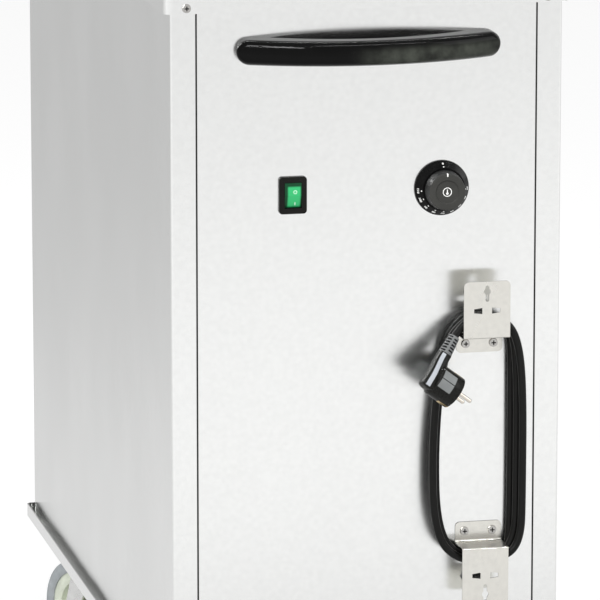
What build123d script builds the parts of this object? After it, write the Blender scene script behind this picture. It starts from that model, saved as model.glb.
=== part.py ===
"""Heated two-stack plate dispenser on four castors.

Frame: millimetres, +Z up, the floor at z = 0.  The operator's end with the bow handle, the switch and
the thermostat faces -Y, the right-hand side is +X, and the origin is the middle of the footprint on the
floor.  Lengths named "out" run from the front panel's face towards the operator.
"""
import os
from math import cos, pi, radians, sin, tan

from build123d import *

os.makedirs("parts", exist_ok=True)

# --- driving dimensions --------------------------------------------------------------------------
# cabinet
body_width = 450.0
body_length = 930.0
panel_height = 787.0          # side panel seen between the tray's lip and the deck's skirt
sheet = 1.2
body_bend = 3.0               # outer bend radius at the cabinet's corners
front_flange = 28.5           # side panel's return onto the front and the rear
seam = 2.0                    # open joint between that return and the end panel
panel_tuck = 26.0             # how far the panels run up behind the skirt
post_leg = 48.0
post_return = 30.0
post_sheet = 2.0
end_panel_gap = 0.3           # end panel's height short of the side panels

# base tray
tray_sheet = 1.5
lip_height = 16.0
lip_reach = 9.0
tray_corner = 6.0

# top deck
deck_sheet = 1.5
skirt_height = 40.0
deck_side_overhang = 8.0
deck_end_overhang = 4.0
deck_corner = 12.0
deck_edge = 2.5
deck_screw_in = 18.0          # screw from the cabinet's side
deck_screw_rise = 6.5         # above the skirt's lower edge

# plate wells, one behind the other
well_spacing = 450.0
deck_hole_radius = 155.0
ring_flange = 163.0
ring_flange_sheet = 1.5
ring_bead = 5.0
ring_neck_gap = 1.0
ring_sheet = 1.5
ring_depth = 30.0
ring_shoulder = 138.0
platform_radius = 130.0
platform_sheet = 1.5
platform_rim = 12.0
platform_drop = 39.0          # platform below the deck at rest
column_radius = 30.0
column_wall = 2.0
column_height = 203.0
arm_width = 26.0
arm_height = 25.0
rail_radius = 168.0           # rail centre from the well's centre
rail_size = 12.0
shoe_gap = 0.3
shoe_height = 40.0
shoe_cheek = 6.0
cage_ring_outer = 182.0
cage_ring_inner = 125.0
cage_ring_sheet = 5.0
hanger_sheet = 3.0
hanger_width = 16.0
hanger_drop = 2.0             # hanger below the platform's top at rest
spring_radius = 7.0
spring_wire = 1.6
spring_station = 148.0
guide_radius = 142.0
guide_width = 20.0
guide_thickness = 4.0

# lids
lid_radius = 160.0
lid_wall = 2.5
lid_side = 26.0
lid_rise = 70.0
lid_flat = 16.0
lid_gap = 0.3
knob_grip_radius = 19.0
knob_grip_height = 26.0
knob_stem_radius = 10.0

# bow handle
handle_length = 303.0
handle_height = 28.5
handle_reach = 50.0
handle_inner_reach = 31.0
handle_end_depth = 11.0
handle_gap_half = 112.0
handle_below_skirt = 44.0     # handle's centre line below the skirt's lower edge
handle_round = 6.5

# switch
switch_x = -86.0
switch_below_skirt = 209.5
bezel_width = 32.0
bezel_height = 42.5
bezel_proud = 4.0
bezel_corner = 4.0
switch_body_width = 26.0
switch_body_height = 36.0
switch_body_depth = 24.0
rocker_width = 19.0
rocker_radius = 14.6
rocker_clearance = 0.3
rocker_pivot_depth = 3.0      # pivot behind the bezel's face
rocker_tilt = 8.0
rocker_ridge = 3.4            # rocker's ridge in front of its pivot

# thermostat
dial_x = 85.8
dial_below_skirt = 208.0
dial_radius = 31.5
dial_face_radius = 24.5
dial_height = 12.0
knob_radius = 22.5
knob_face_radius = 21.0
knob_out = 30.0
knob_gap = 0.4
knob_dish_radius = 14.0
knob_dish_depth = 1.5
spindle_radius = 4.0
spindle_clearance = 0.05
thermostat_width = 34.0
thermostat_depth = 28.0

# cord brackets on the front panel
bracket_x = 131.0
bracket_width = 54.0
bracket_sheet = 1.2
bracket_depth = 36.0
bracket_plate = 65.0
bracket_foot = 24.0
bracket_corner = 5.5
bracket_bend = 2.0
upper_ledge_below_skirt = 376.0
lower_ledge_below_skirt = 622.0
foot_screw_half = 16.2
foot_screw_in = 13.4          # screw row from the ledge
socket_slot_width = 4.2
socket_slot_length = 18.5
socket_slot_in = 51.0         # slot's middle from the ledge
socket_hole_radius = 3.8
socket_hole_in = 53.3         # round hole from the ledge
socket_pin_half = 10.4
socket_pin_in = 31.2
socket_pin_length = 9.6
socket_pin_wide = 7.2
socket_pin_narrow = 4.6

# screws
screw_head_radius = 5.2
screw_head_height = 2.6
screw_shank_radius = 2.1
screw_hole_radius = 2.3
screw_length = 12.0
recess_width = 1.4
recess_length = 5.4
recess_depth = 1.4

# mains cord
cord_diameter = 9.0
gland_x = 122.0
gland_radius = 11.0
gland_flange = 4.0
gland_body_radius = 8.6
gland_spigot_radius = 8.0
gland_spigot_length = 10.0
gland_z_below_skirt = 663.0
boot_radius = 6.8             # sleeve that leaves the gland sideways
boot_tip_radius = 5.4
boot_length = 30.0
boot_rise = 30.0              # sleeve's slope above the horizontal
strands = 3                   # on the right-hand side
strand_out = 7.0              # first strand, out from the panel
strand_out_pitch = 9.5
right_strand_beyond = 8.0     # first strand past the bracket's right-hand edge
right_strand_pitch = 5.8
left_strand_beyond = 26.5     # first strand past the bracket's left-hand edge
left_strand_pitch = 5.5
top_rise = 21.0               # top of a turn above the upper ledge
top_shoulder_right = 20.0     # route's corners in from the side strands
top_shoulder_left = 24.0
high_corner_right = 4.0       # route's corners above and below the upper ledge
high_corner_left = -6.0
low_drop = 16.0               # foot of a turn below the lower ledge
low_shoulder_right = 22.0
low_shoulder_left = 24.0
low_corner_right = 4.0        # route's corners above the lower ledge
low_corner_left = 10.0
straight_low = 63.0           # straight side stretch, above the lower ledge
straight_high = 53.0          # and below the upper one
left_middle = 123.0           # left-hand strand's middle, below the upper ledge
side_bow = 1.0
first_bend_in = 9.7
first_bend_low = 4.8
first_bend_high = 21.5
side_bend = 60.0
tail_lead = 26.0
plug_x = 89.6
plug_z_below_skirt = 434.4
plug_turn = 36.87             # pins below the horizontal
plug_lean = 19.0              # cord end leaning back to the panel
plug_out = 52.0
plug_barrel_radius = 19.6
plug_barrel_depth = 23.0
plug_back_radius = 9.0
plug_back_shift = 7.0
plug_depth = 42.2
plug_neck_radius = 8.7
plug_axis_in = 33.5           # cord axis behind the plug's face
plug_neck_length = 30.8
relief_length = 23.0
relief_radius = 6.4
relief_ribs = 6
relief_groove = 1.3
earth_width = 6.0
earth_length = 14.0
earth_sheet = 1.0
pin_radius = 2.4
pin_length = 19.0
pin_spacing = 19.0

# heater between the wells
heater_tube_radius = 4.2
heater_leg_length = 280.0
heater_leg_spacing = 60.0
heater_height = 42.0          # above the tray's floor
heater_bracket_sheet = 2.0
heater_bracket_foot = 18.0
heater_bracket_half = 100.0
heater_bracket_width = 84.0
heater_bracket_top = 12.0

# castors
castor_height = 156.0
wheel_radius = 62.5
tyre_inner = 47.9
wheel_width = 32.0
castor_trail = 36.0
castor_side_in = 58.5         # swivel axis from the cabinet's side
castor_front_in = 114.5       # swivel axis from the cabinet's front
castor_rear_in = 154.5        # swivel axis from the cabinet's rear
trail_angle_rear = 25.0       # wheels of the rear castors swung outwards
plate_width = 104.0
plate_depth = 82.0
plate_sheet = 3.0
race_radius = 29.0
race_depth = 8.0
race_gap = 0.3
fork_crown_radius = 31.0
fork_crown_height = 4.5
fork_leg_sheet = 3.0
fork_leg_gap = 3.5            # wheel to fork leg
fork_boss_radius = 13.0
kingpin_radius = 6.0
kingpin_length = 6.0
running_clearance = 0.05
axle_radius = 5.0
axle_head_radius = 8.5
axle_head_height = 5.5
hub_boss_radius = 13.0
hub_web = 6.0
hub_rim_radius = 38.0
tyre_round = 9.0
pedal_width = 34.0
pedal_side_gap = 0.3
pedal_pin_radius = 3.0
pedal_barrel_radius = 5.0
pedal_pin_head = 1.5
pedal_pivot_back = 18.0       # pivot from the wheel's centre, towards the swivel axis
pedal_pivot_rise = 8.5        # pivot above the tyre's top
pedal_shoe_gap = 0.5
pedal_length = 46.0
pedal_sheet = 4.0

# --- levels and planes that follow ------------------------------------------------------------------
front_y = (handle_reach - body_length - lip_reach) / 2
rear_y = front_y + body_length
half_width = body_width / 2
deck_screw_x = half_width - deck_screw_in
tray_floor = castor_height + tray_sheet
skirt_bottom = castor_height + lip_height + panel_height
deck_top = skirt_bottom + skirt_height
deck_under = deck_top - deck_sheet
panel_top = min(skirt_bottom + panel_tuck, deck_under)
body_mid_y = (front_y + rear_y) / 2
well_centres = {"front": body_mid_y - well_spacing / 2, "rear": body_mid_y + well_spacing / 2}
front_face = Plane.XZ.offset(-front_y)
end_panel_width = body_width - 2 * (front_flange + seam)


def out_plane(out):
    """Plane parallel to the front panel, this far in front of its face, with local y up."""
    return Plane.XZ.offset(out - front_y)


def save(builder, name):
    """Labels the finished piece and writes it as one file."""
    builder.part.label = name
    export_step(builder.part, f"parts/{name}.step")


# --- cabinet ------------------------------------------------------------------------------------------
with BuildPart() as base_tray:
    with BuildSketch(Plane.XY.offset(castor_height)):
        with Locations((0, body_mid_y)):
            RectangleRounded(body_width + 2 * lip_reach, body_length + 2 * lip_reach, tray_corner)
    extrude(amount=lip_height)
    with BuildSketch(Plane.XY.offset(tray_floor)):
        with Locations((0, body_mid_y)):
            RectangleRounded(
                body_width + 2 * (lip_reach - tray_sheet),
                body_length + 2 * (lip_reach - tray_sheet),
                tray_corner - tray_sheet,
            )
    extrude(amount=lip_height, mode=Mode.SUBTRACT)
save(base_tray, "base_tray")

deck_screw_z = skirt_bottom + deck_screw_rise
for side, name in ((-1, "left_side_panel"), (1, "right_side_panel")):
    edge = side * half_width
    with BuildPart() as side_panel:
        with BuildSketch(Plane.XY.offset(tray_floor)):
            with BuildLine():
                FilletPolyline(
                    (edge - side * front_flange, front_y),
                    (edge, front_y),
                    (edge, rear_y),
                    (edge - side * front_flange, rear_y),
                    radius=body_bend,
                )
                offset(amount=sheet, side=Side.LEFT if side > 0 else Side.RIGHT)
            make_face()
        extrude(amount=panel_top - tray_floor)
        with Locations((side * deck_screw_x, body_mid_y, deck_screw_z)):
            Cylinder(screw_hole_radius, 2 * body_length, rotation=(90, 0, 0), mode=Mode.SUBTRACT)
    save(side_panel, name)

switch_z = skirt_bottom - switch_below_skirt
dial_z = skirt_bottom - dial_below_skirt
upper_ledge = skirt_bottom - upper_ledge_below_skirt
lower_ledge = skirt_bottom - lower_ledge_below_skirt
gland_z = skirt_bottom - gland_z_below_skirt
foot_screws = [
    (bracket_x + dx, z)
    for z in (upper_ledge - foot_screw_in, lower_ledge + foot_screw_in)
    for dx in (-foot_screw_half, foot_screw_half)
]
with BuildPart() as front_panel:
    with BuildSketch(front_face):
        with Locations((0, (tray_floor + panel_top - end_panel_gap) / 2)):
            Rectangle(end_panel_width, panel_top - tray_floor - end_panel_gap)
        with Locations((switch_x, switch_z)):
            Rectangle(switch_body_width, switch_body_height, mode=Mode.SUBTRACT)
        with Locations((dial_x, dial_z)):
            Circle(spindle_radius + 2.5, mode=Mode.SUBTRACT)
        with Locations((gland_x, gland_z)):
            Circle(gland_spigot_radius, mode=Mode.SUBTRACT)
        with Locations(*foot_screws):
            Circle(screw_hole_radius, mode=Mode.SUBTRACT)
    extrude(amount=-sheet)
save(front_panel, "front_panel")

with BuildPart() as rear_panel:
    with BuildSketch(Plane.XZ.offset(-rear_y)):
        with Locations((0, (tray_floor + panel_top - end_panel_gap) / 2)):
            Rectangle(end_panel_width, panel_top - tray_floor - end_panel_gap)
    extrude(amount=sheet)
save(rear_panel, "rear_panel")

with BuildPart() as corner_posts:
    for side in (-1, 1):
        for end in (-1, 1):
            post_x = side * (half_width - sheet)
            post_y = (front_y + sheet) if end < 0 else (rear_y - sheet)
            turn = side * end
            with BuildSketch(Plane.XY.offset(tray_floor)):
                with BuildLine():
                    FilletPolyline(
                        (post_x - side * post_leg, post_y),
                        (post_x, post_y),
                        (post_x, post_y - end * post_return),
                        radius=body_bend,
                    )
                    offset(amount=post_sheet, side=Side.RIGHT if turn > 0 else Side.LEFT)
                make_face()
            extrude(amount=deck_under - tray_floor)
    for side in (-1, 1):
        with Locations((side * deck_screw_x, body_mid_y, deck_screw_z)):
            Cylinder(screw_hole_radius, 2 * body_length, rotation=(90, 0, 0), mode=Mode.SUBTRACT)
save(corner_posts, "corner_posts")

with BuildPart() as top_deck:
    with BuildSketch(Plane.XY.offset(skirt_bottom)):
        with Locations((0, body_mid_y)):
            RectangleRounded(
                body_width + 2 * deck_side_overhang,
                body_length + 2 * deck_end_overhang,
                deck_corner,
            )
    extrude(amount=skirt_height)
    fillet(top_deck.faces().sort_by(Axis.Z)[-1].edges(), deck_edge)
    with BuildSketch(Plane.XY.offset(skirt_bottom)):
        with Locations((0, body_mid_y)):
            RectangleRounded(
                body_width + 2 * (deck_side_overhang - deck_sheet),
                body_length + 2 * (deck_end_overhang - deck_sheet),
                deck_corner - deck_sheet,
            )
    extrude(amount=skirt_height - deck_sheet, mode=Mode.SUBTRACT)
    with BuildSketch(Plane.XY.offset(deck_under)):
        with Locations(*[(0, y) for y in well_centres.values()]):
            Circle(deck_hole_radius)
    extrude(amount=2 * deck_sheet, mode=Mode.SUBTRACT)
    for side in (-1, 1):
        with Locations((side * deck_screw_x, body_mid_y, deck_screw_z)):
            Cylinder(screw_hole_radius, 2 * body_length, rotation=(90, 0, 0), mode=Mode.SUBTRACT)
save(top_deck, "top_deck")


def pan_screws(planes_and_spots, length):
    """Cross-recess pan-head screws, their heads resting on the given planes."""
    with BuildPart() as screws:
        for plane, spots in planes_and_spots:
            with BuildSketch(plane):
                with Locations(*spots):
                    Circle(screw_head_radius)
            extrude(amount=screw_head_height, taper=12)
            with BuildSketch(plane):
                with Locations(*spots):
                    Circle(screw_shank_radius)
            extrude(amount=-length)
            with BuildSketch(plane.offset(screw_head_height)):
                with Locations(*spots):
                    Rectangle(recess_width, recess_length)
                    Rectangle(recess_length, recess_width)
            extrude(amount=-recess_depth, mode=Mode.SUBTRACT)
    return screws


skirt_front = Plane.XZ.offset(-(front_y - deck_end_overhang))
skirt_rear = Plane(origin=(0, rear_y + deck_end_overhang, 0), x_dir=(1, 0, 0), z_dir=(0, 1, 0))
deck_screws = pan_screws(
    (
        (skirt_front, [(-deck_screw_x, deck_screw_z), (deck_screw_x, deck_screw_z)]),
        (skirt_rear, [(-deck_screw_x, -deck_screw_z), (deck_screw_x, -deck_screw_z)]),
    ),
    screw_length,
)
save(deck_screws, "deck_screws")

# --- plate wells ----------------------------------------------------------------------------------
platform_top = deck_top - platform_drop
column_top = platform_top - platform_sheet
carriage_top = column_top - column_height
carriage_bottom = carriage_top - arm_height
hanger_top = platform_top - hanger_drop
hanger_under = hanger_top - hanger_sheet
rail_inner = rail_radius - rail_size / 2
shoulder_under = deck_top - ring_depth - ring_sheet
cage_ring_top = tray_floor + cage_ring_sheet
shoe_inner = spring_station + spring_radius + 1
shoe_outer = rail_radius + rail_size / 3

for end, well_y in well_centres.items():
    centre = (0, well_y)
    axis = Axis((0, well_y, 0), (0, 0, 1))
    section = Plane(origin=(0, well_y, 0), x_dir=(1, 0, 0), z_dir=(0, -1, 0))

    with BuildPart() as well_ring:
        neck = deck_hole_radius - ring_neck_gap
        with BuildSketch(section):
            with BuildLine():
                Polyline(
                    (ring_flange, deck_top),
                    (ring_flange, deck_top + ring_flange_sheet),
                    (neck + 1.5, deck_top + ring_flange_sheet),
                    (neck, deck_top + ring_bead),
                    (neck - ring_sheet, deck_top + ring_bead),
                    (neck - ring_sheet, shoulder_under + ring_sheet),
                    (ring_shoulder, shoulder_under + ring_sheet),
                    (ring_shoulder, shoulder_under),
                    (neck, shoulder_under),
                    (neck, deck_top),
                    close=True,
                )
            make_face()
        revolve(axis=axis)
    save(well_ring, f"well_ring_{end}")

    with BuildPart() as guide_cage:
        with BuildSketch(Plane.XY.offset(tray_floor)):
            with Locations(centre):
                Circle(cage_ring_outer)
                Circle(cage_ring_inner, mode=Mode.SUBTRACT)
        extrude(amount=cage_ring_sheet)
        with BuildSketch(Plane.XY.offset(cage_ring_top)):
            with Locations(centre):
                with PolarLocations(rail_radius, 4, start_angle=45):
                    Rectangle(rail_size, rail_size)
        extrude(amount=deck_under - cage_ring_top)
        with BuildSketch(Plane.XY.offset(hanger_under)):
            with Locations(centre):
                with PolarLocations((spring_station + rail_inner) / 2 - spring_radius / 2, 4, start_angle=45):
                    Rectangle(rail_inner - spring_station + spring_radius, hanger_width)
        extrude(amount=hanger_sheet)
    save(guide_cage, f"guide_cage_{end}")

    with BuildPart() as plate_guides:
        with BuildSketch(Plane.XY.offset(cage_ring_top)):
            with Locations(centre):
                with PolarLocations(guide_radius, 4):
                    RectangleRounded(guide_thickness, guide_width, guide_thickness / 2 - 0.1)
        extrude(amount=shoulder_under - cage_ring_top)
    save(plate_guides, f"plate_guides_{end}")

    with BuildPart() as plate_platform:
        with BuildSketch(Plane.XY.offset(platform_top - platform_rim)):
            with Locations(centre):
                Circle(platform_radius)
        extrude(amount=platform_rim)
        fillet(plate_platform.faces().sort_by(Axis.Z)[-1].edges(), platform_sheet + 1)
        with BuildSketch(Plane.XY.offset(platform_top - platform_rim)):
            with Locations(centre):
                Circle(platform_radius - platform_sheet)
        extrude(amount=platform_rim - platform_sheet, mode=Mode.SUBTRACT)
    save(plate_platform, f"plate_platform_{end}")

    with BuildPart() as lift_carriage:
        with BuildSketch(Plane.XY.offset(carriage_top)):
            with Locations(centre):
                Circle(column_radius)
                Circle(column_radius - column_wall, mode=Mode.SUBTRACT)
        extrude(amount=column_height)
        with BuildSketch(Plane.XY.offset(carriage_bottom)):
            with Locations(centre):
                for angle in (45, 135):
                    Rectangle(2 * rail_inner, arm_width, rotation=angle)
        extrude(amount=arm_height)
        with BuildSketch(Plane.XY.offset(carriage_bottom - (shoe_height - arm_height) / 2)):
            with Locations(centre):
                with PolarLocations((shoe_inner + shoe_outer) / 2, 4, start_angle=45):
                    Rectangle(shoe_outer - shoe_inner, rail_size + 2 * shoe_cheek)
                with PolarLocations(rail_radius, 4, start_angle=45):
                    Rectangle(rail_size + 2 * shoe_gap, rail_size + 2 * shoe_gap, mode=Mode.SUBTRACT)
                with PolarLocations(rail_radius + rail_size, 4, start_angle=45):
                    Rectangle(2 * rail_size, rail_size + 2 * shoe_gap, mode=Mode.SUBTRACT)
        extrude(amount=shoe_height)
        with BuildSketch(Plane.XY.offset(carriage_bottom)):
            with Locations(centre):
                with PolarLocations(rail_radius, 4, start_angle=45):
                    Rectangle(rail_size + 2 * shoe_gap, rail_size + 2 * shoe_gap)
        extrude(amount=arm_height, mode=Mode.SUBTRACT)
    save(lift_carriage, f"lift_carriage_{end}")

    with BuildPart() as lift_springs:
        with BuildSketch(Plane.XY.offset(carriage_top)):
            with Locations(centre):
                with PolarLocations(spring_station, 4, start_angle=45):
                    Circle(spring_radius)
                    Circle(spring_radius - spring_wire, mode=Mode.SUBTRACT)
        extrude(amount=hanger_under - carriage_top)
    save(lift_springs, f"lift_springs_{end}")

    seat = deck_top + ring_flange_sheet + lid_gap
    crown = seat + lid_rise
    with BuildPart() as lid:
        with BuildSketch(section):
            with BuildLine():
                Line((lid_radius, seat), (lid_radius, seat + lid_side))
                ThreePointArc(
                    (lid_radius, seat + lid_side),
                    (lid_radius * 0.8, seat + lid_side + (lid_rise - lid_side) * 0.62),
                    (lid_flat, crown),
                )
                Line((lid_flat, crown), (0, crown))
                Line((0, crown), (0, crown - lid_wall))
                Line((0, crown - lid_wall), (lid_flat, crown - lid_wall))
                ThreePointArc(
                    (lid_flat, crown - lid_wall),
                    (lid_radius * 0.8 - lid_wall * 0.4, seat + lid_side + (lid_rise - lid_side) * 0.62 - lid_wall),
                    (lid_radius - lid_wall, seat + lid_side),
                )
                Line((lid_radius - lid_wall, seat + lid_side), (lid_radius - lid_wall, seat))
                Line((lid_radius - lid_wall, seat), (lid_radius, seat))
            make_face()
        revolve(axis=axis)
    save(lid, f"lid_{end}")

    with BuildPart() as lid_knob:
        with BuildSketch(section):
            with BuildLine():
                Polyline(
                    (0, crown),
                    (knob_stem_radius + 3, crown),
                    (knob_stem_radius, crown + 8),
                    (knob_grip_radius, crown + knob_grip_height * 0.55),
                    (knob_grip_radius, crown + knob_grip_height * 0.8),
                    (knob_grip_radius - 5, crown + knob_grip_height),
                    (0, crown + knob_grip_height),
                    close=True,
                )
            make_face()
        revolve(axis=axis)
    save(lid_knob, f"lid_knob_{end}")

# --- heater ---------------------------------------------------------------------------------------
heater_z = tray_floor + heater_height
with BuildPart() as heater_element:
    with BuildLine() as heater_path:
        FilletPolyline(
            (-heater_leg_length / 2, body_mid_y - heater_leg_spacing / 2, heater_z),
            (heater_leg_length / 2, body_mid_y - heater_leg_spacing / 2, heater_z),
            (heater_leg_length / 2, body_mid_y + heater_leg_spacing / 2, heater_z),
            (-heater_leg_length / 2, body_mid_y + heater_leg_spacing / 2, heater_z),
            radius=heater_leg_spacing * 0.45,
        )
    with BuildSketch(Plane(origin=heater_path.line @ 0, z_dir=heater_path.line % 0)):
        Circle(heater_tube_radius)
    sweep()
save(heater_element, "heater_element")

with BuildPart() as heater_bracket:
    for x in (-heater_bracket_half, heater_bracket_half):
        with BuildSketch(Plane.YZ.offset(x)):
            with Locations((body_mid_y, tray_floor + (heater_height + heater_bracket_top) / 2)):
                Rectangle(heater_bracket_width, heater_height + heater_bracket_top)
            with Locations(
                (body_mid_y - heater_leg_spacing / 2, heater_z),
                (body_mid_y + heater_leg_spacing / 2, heater_z),
            ):
                Circle(heater_tube_radius + 0.1, mode=Mode.SUBTRACT)
        extrude(amount=heater_bracket_sheet)
        with BuildSketch(Plane.XY.offset(tray_floor)):
            with Locations((x + heater_bracket_foot / 2, body_mid_y)):
                Rectangle(heater_bracket_foot, heater_bracket_width)
        extrude(amount=heater_bracket_sheet)
save(heater_bracket, "heater_bracket")

# --- bow handle -----------------------------------------------------------------------------------
handle_z = skirt_bottom - handle_below_skirt
half_handle = handle_length / 2
with BuildPart() as handle:
    with BuildSketch(Plane.XY.offset(handle_z - handle_height / 2)):
        with BuildLine():
            Line((-half_handle, front_y), (-half_handle, front_y - handle_end_depth))
            ThreePointArc(
                (-half_handle, front_y - handle_end_depth),
                (0, front_y - handle_reach),
                (half_handle, front_y - handle_end_depth),
            )
            Line((half_handle, front_y - handle_end_depth), (half_handle, front_y))
            Line((half_handle, front_y), (handle_gap_half, front_y))
            ThreePointArc(
                (handle_gap_half, front_y),
                (0, front_y - handle_inner_reach),
                (-handle_gap_half, front_y),
            )
            Line((-handle_gap_half, front_y), (-half_handle, front_y))
        make_face()
    extrude(amount=handle_height)
    with BuildSketch(front_face):
        with Locations((0, handle_z)):
            SlotOverall(handle_length, handle_height)
    extrude(amount=handle_reach + 1, mode=Mode.INTERSECT)
    front_edges = handle.edges().filter_by(lambda e: e.center().Y < front_y - handle_end_depth / 2)
    outer_edges = front_edges.filter_by(lambda e: e.length > 1.2 * handle_gap_half)
    fillet(outer_edges.sort_by(Axis.Y)[:2], handle_round)
save(handle, "handle")

# --- switch ---------------------------------------------------------------------------------------
pivot_out = bezel_proud - rocker_pivot_depth
with BuildPart() as switch_housing:
    with BuildSketch(front_face):
        with Locations((switch_x, switch_z)):
            RectangleRounded(bezel_width, bezel_height, bezel_corner)
    extrude(amount=bezel_proud)
    fillet(switch_housing.faces().sort_by(Axis.Y)[0].edges(), 1.2)
    with BuildSketch(front_face):
        with Locations((switch_x, switch_z)):
            Rectangle(switch_body_width, switch_body_height)
    extrude(amount=-switch_body_depth)
    with BuildSketch(Plane.YZ.offset(switch_x - rocker_width / 2 - rocker_clearance)):
        with Locations((front_y - pivot_out, switch_z)):
            Circle(rocker_radius + rocker_clearance)
    extrude(amount=rocker_width + 2 * rocker_clearance, mode=Mode.SUBTRACT)
save(switch_housing, "switch_housing")

with BuildPart() as switch_rocker:
    with BuildSketch(Plane.YZ.offset(switch_x - rocker_width / 2)):
        with Locations((front_y - pivot_out, switch_z)):
            Circle(rocker_radius)
        with BuildLine():
            far = 2 * rocker_radius
            ridge = (front_y - pivot_out - rocker_ridge, switch_z)
            up = radians(90)
            down = radians(-90 - 2 * rocker_tilt)
            Polyline(
                ridge,
                (ridge[0] - far * cos(up), ridge[1] + far * sin(up)),
                (ridge[0] - far, ridge[1] + far),
                (ridge[0] - far, ridge[1] - far),
                (ridge[0] - far * cos(down), ridge[1] + far * sin(down)),
                close=True,
            )
        make_face(mode=Mode.SUBTRACT)
    extrude(amount=rocker_width)
save(switch_rocker, "switch_rocker")

# --- thermostat -----------------------------------------------------------------------------------
dial_axis = Axis((dial_x, 0, dial_z), (0, 1, 0))
dial_section = Plane(origin=(dial_x, front_y, dial_z), x_dir=(1, 0, 0), z_dir=(0, 0, 1))
knob_base = dial_height + knob_gap
with BuildPart() as thermostat_bezel:
    with BuildSketch(dial_section):
        with BuildLine():
            Polyline(
                (spindle_radius + 2, 0),
                (dial_radius, 0),
                (dial_radius, -2),
                (dial_face_radius, -dial_height),
                (spindle_radius + 2, -dial_height),
                close=True,
            )
        make_face()
    revolve(axis=dial_axis)
save(thermostat_bezel, "thermostat_bezel")

with BuildPart() as thermostat_knob:
    with BuildSketch(dial_section):
        with BuildLine():
            Polyline(
                (0, spindle_radius * 3),
                (spindle_radius, spindle_radius * 3),
                (spindle_radius, -knob_base),
                (knob_radius, -knob_base),
                (knob_radius, -knob_base - 3),
                (knob_face_radius, -knob_out + 1),
                (knob_face_radius - 1, -knob_out),
                (knob_dish_radius, -knob_out),
                (knob_dish_radius - 1.5, -knob_out + knob_dish_depth),
                (0, -knob_out + knob_dish_depth),
                close=True,
            )
        make_face()
    revolve(axis=dial_axis)
save(thermostat_knob, "thermostat_knob")

with BuildPart() as thermostat_body:
    with BuildSketch(Plane.XZ.offset(-front_y - sheet)):
        with Locations((dial_x, dial_z)):
            Rectangle(thermostat_width, thermostat_width)
    extrude(amount=-thermostat_depth)
    with BuildSketch(Plane.XZ.offset(-front_y - sheet)):
        with Locations((dial_x, dial_z)):
            Circle(spindle_radius + 2.4)
    extrude(amount=sheet)
    with BuildSketch(front_face):
        with Locations((dial_x, dial_z)):
            Circle(spindle_radius + spindle_clearance)
    extrude(amount=-(spindle_radius * 3 + 1), mode=Mode.SUBTRACT)
save(thermostat_body, "thermostat_body")

# --- cord brackets --------------------------------------------------------------------------------
for name, ledge, up in (("cord_bracket_upper", upper_ledge, 1), ("cord_bracket_lower", lower_ledge, -1)):
    under = ledge - up * bracket_sheet
    plate_front = front_y - bracket_depth
    with BuildPart() as cord_bracket:
        with BuildSketch(Plane.YZ.offset(bracket_x - bracket_width / 2)):
            with BuildLine():
                FilletPolyline(
                    (plate_front, ledge + up * bracket_plate),
                    (plate_front, under),
                    (front_y - bracket_sheet, under),
                    (front_y - bracket_sheet, ledge - up * bracket_foot),
                    radius=bracket_bend,
                )
                offset(amount=bracket_sheet, side=Side.LEFT if up > 0 else Side.RIGHT)
            make_face()
        extrude(amount=bracket_width)
        with BuildSketch(front_face):
            with Locations((bracket_x, ledge + up * (bracket_plate - bracket_foot) / 2)):
                RectangleRounded(bracket_width, bracket_plate + bracket_foot, bracket_corner)
        extrude(amount=bracket_depth + 1, mode=Mode.INTERSECT)
        with BuildSketch(out_plane(bracket_depth - 2 * bracket_sheet)):
            with Locations((bracket_x, ledge + up * socket_slot_in)):
                SlotOverall(socket_slot_length, socket_slot_width, rotation=90)
            with Locations((bracket_x, ledge + up * socket_hole_in)):
                Circle(socket_hole_radius)
            for pin_side in (-1, 1):
                near = bracket_x + pin_side * (socket_pin_half - socket_pin_length / 2)
                far = bracket_x + pin_side * (socket_pin_half + socket_pin_length / 2)
                pin_row = ledge + up * socket_pin_in
                with BuildLine():
                    Polyline(
                        (near, pin_row - socket_pin_wide / 2),
                        (far, pin_row - socket_pin_narrow / 2),
                        (far, pin_row + socket_pin_narrow / 2),
                        (near, pin_row + socket_pin_wide / 2),
                        close=True,
                    )
                make_face()
        extrude(amount=3 * bracket_sheet, mode=Mode.SUBTRACT)
        with BuildSketch(front_face):
            with Locations(*[spot for spot in foot_screws if abs(spot[1] - ledge) < bracket_foot]):
                Circle(screw_hole_radius)
        extrude(amount=2 * bracket_sheet, mode=Mode.SUBTRACT)
    save(cord_bracket, name)

bracket_screws = pan_screws(((out_plane(bracket_sheet), foot_screws),), screw_length)
save(bracket_screws, "bracket_screws")

# --- mains cord -----------------------------------------------------------------------------------
def at(x, out, z):
    """Point given by its distance out from the front panel."""
    return Vector(x, front_y - out, z)


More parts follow.
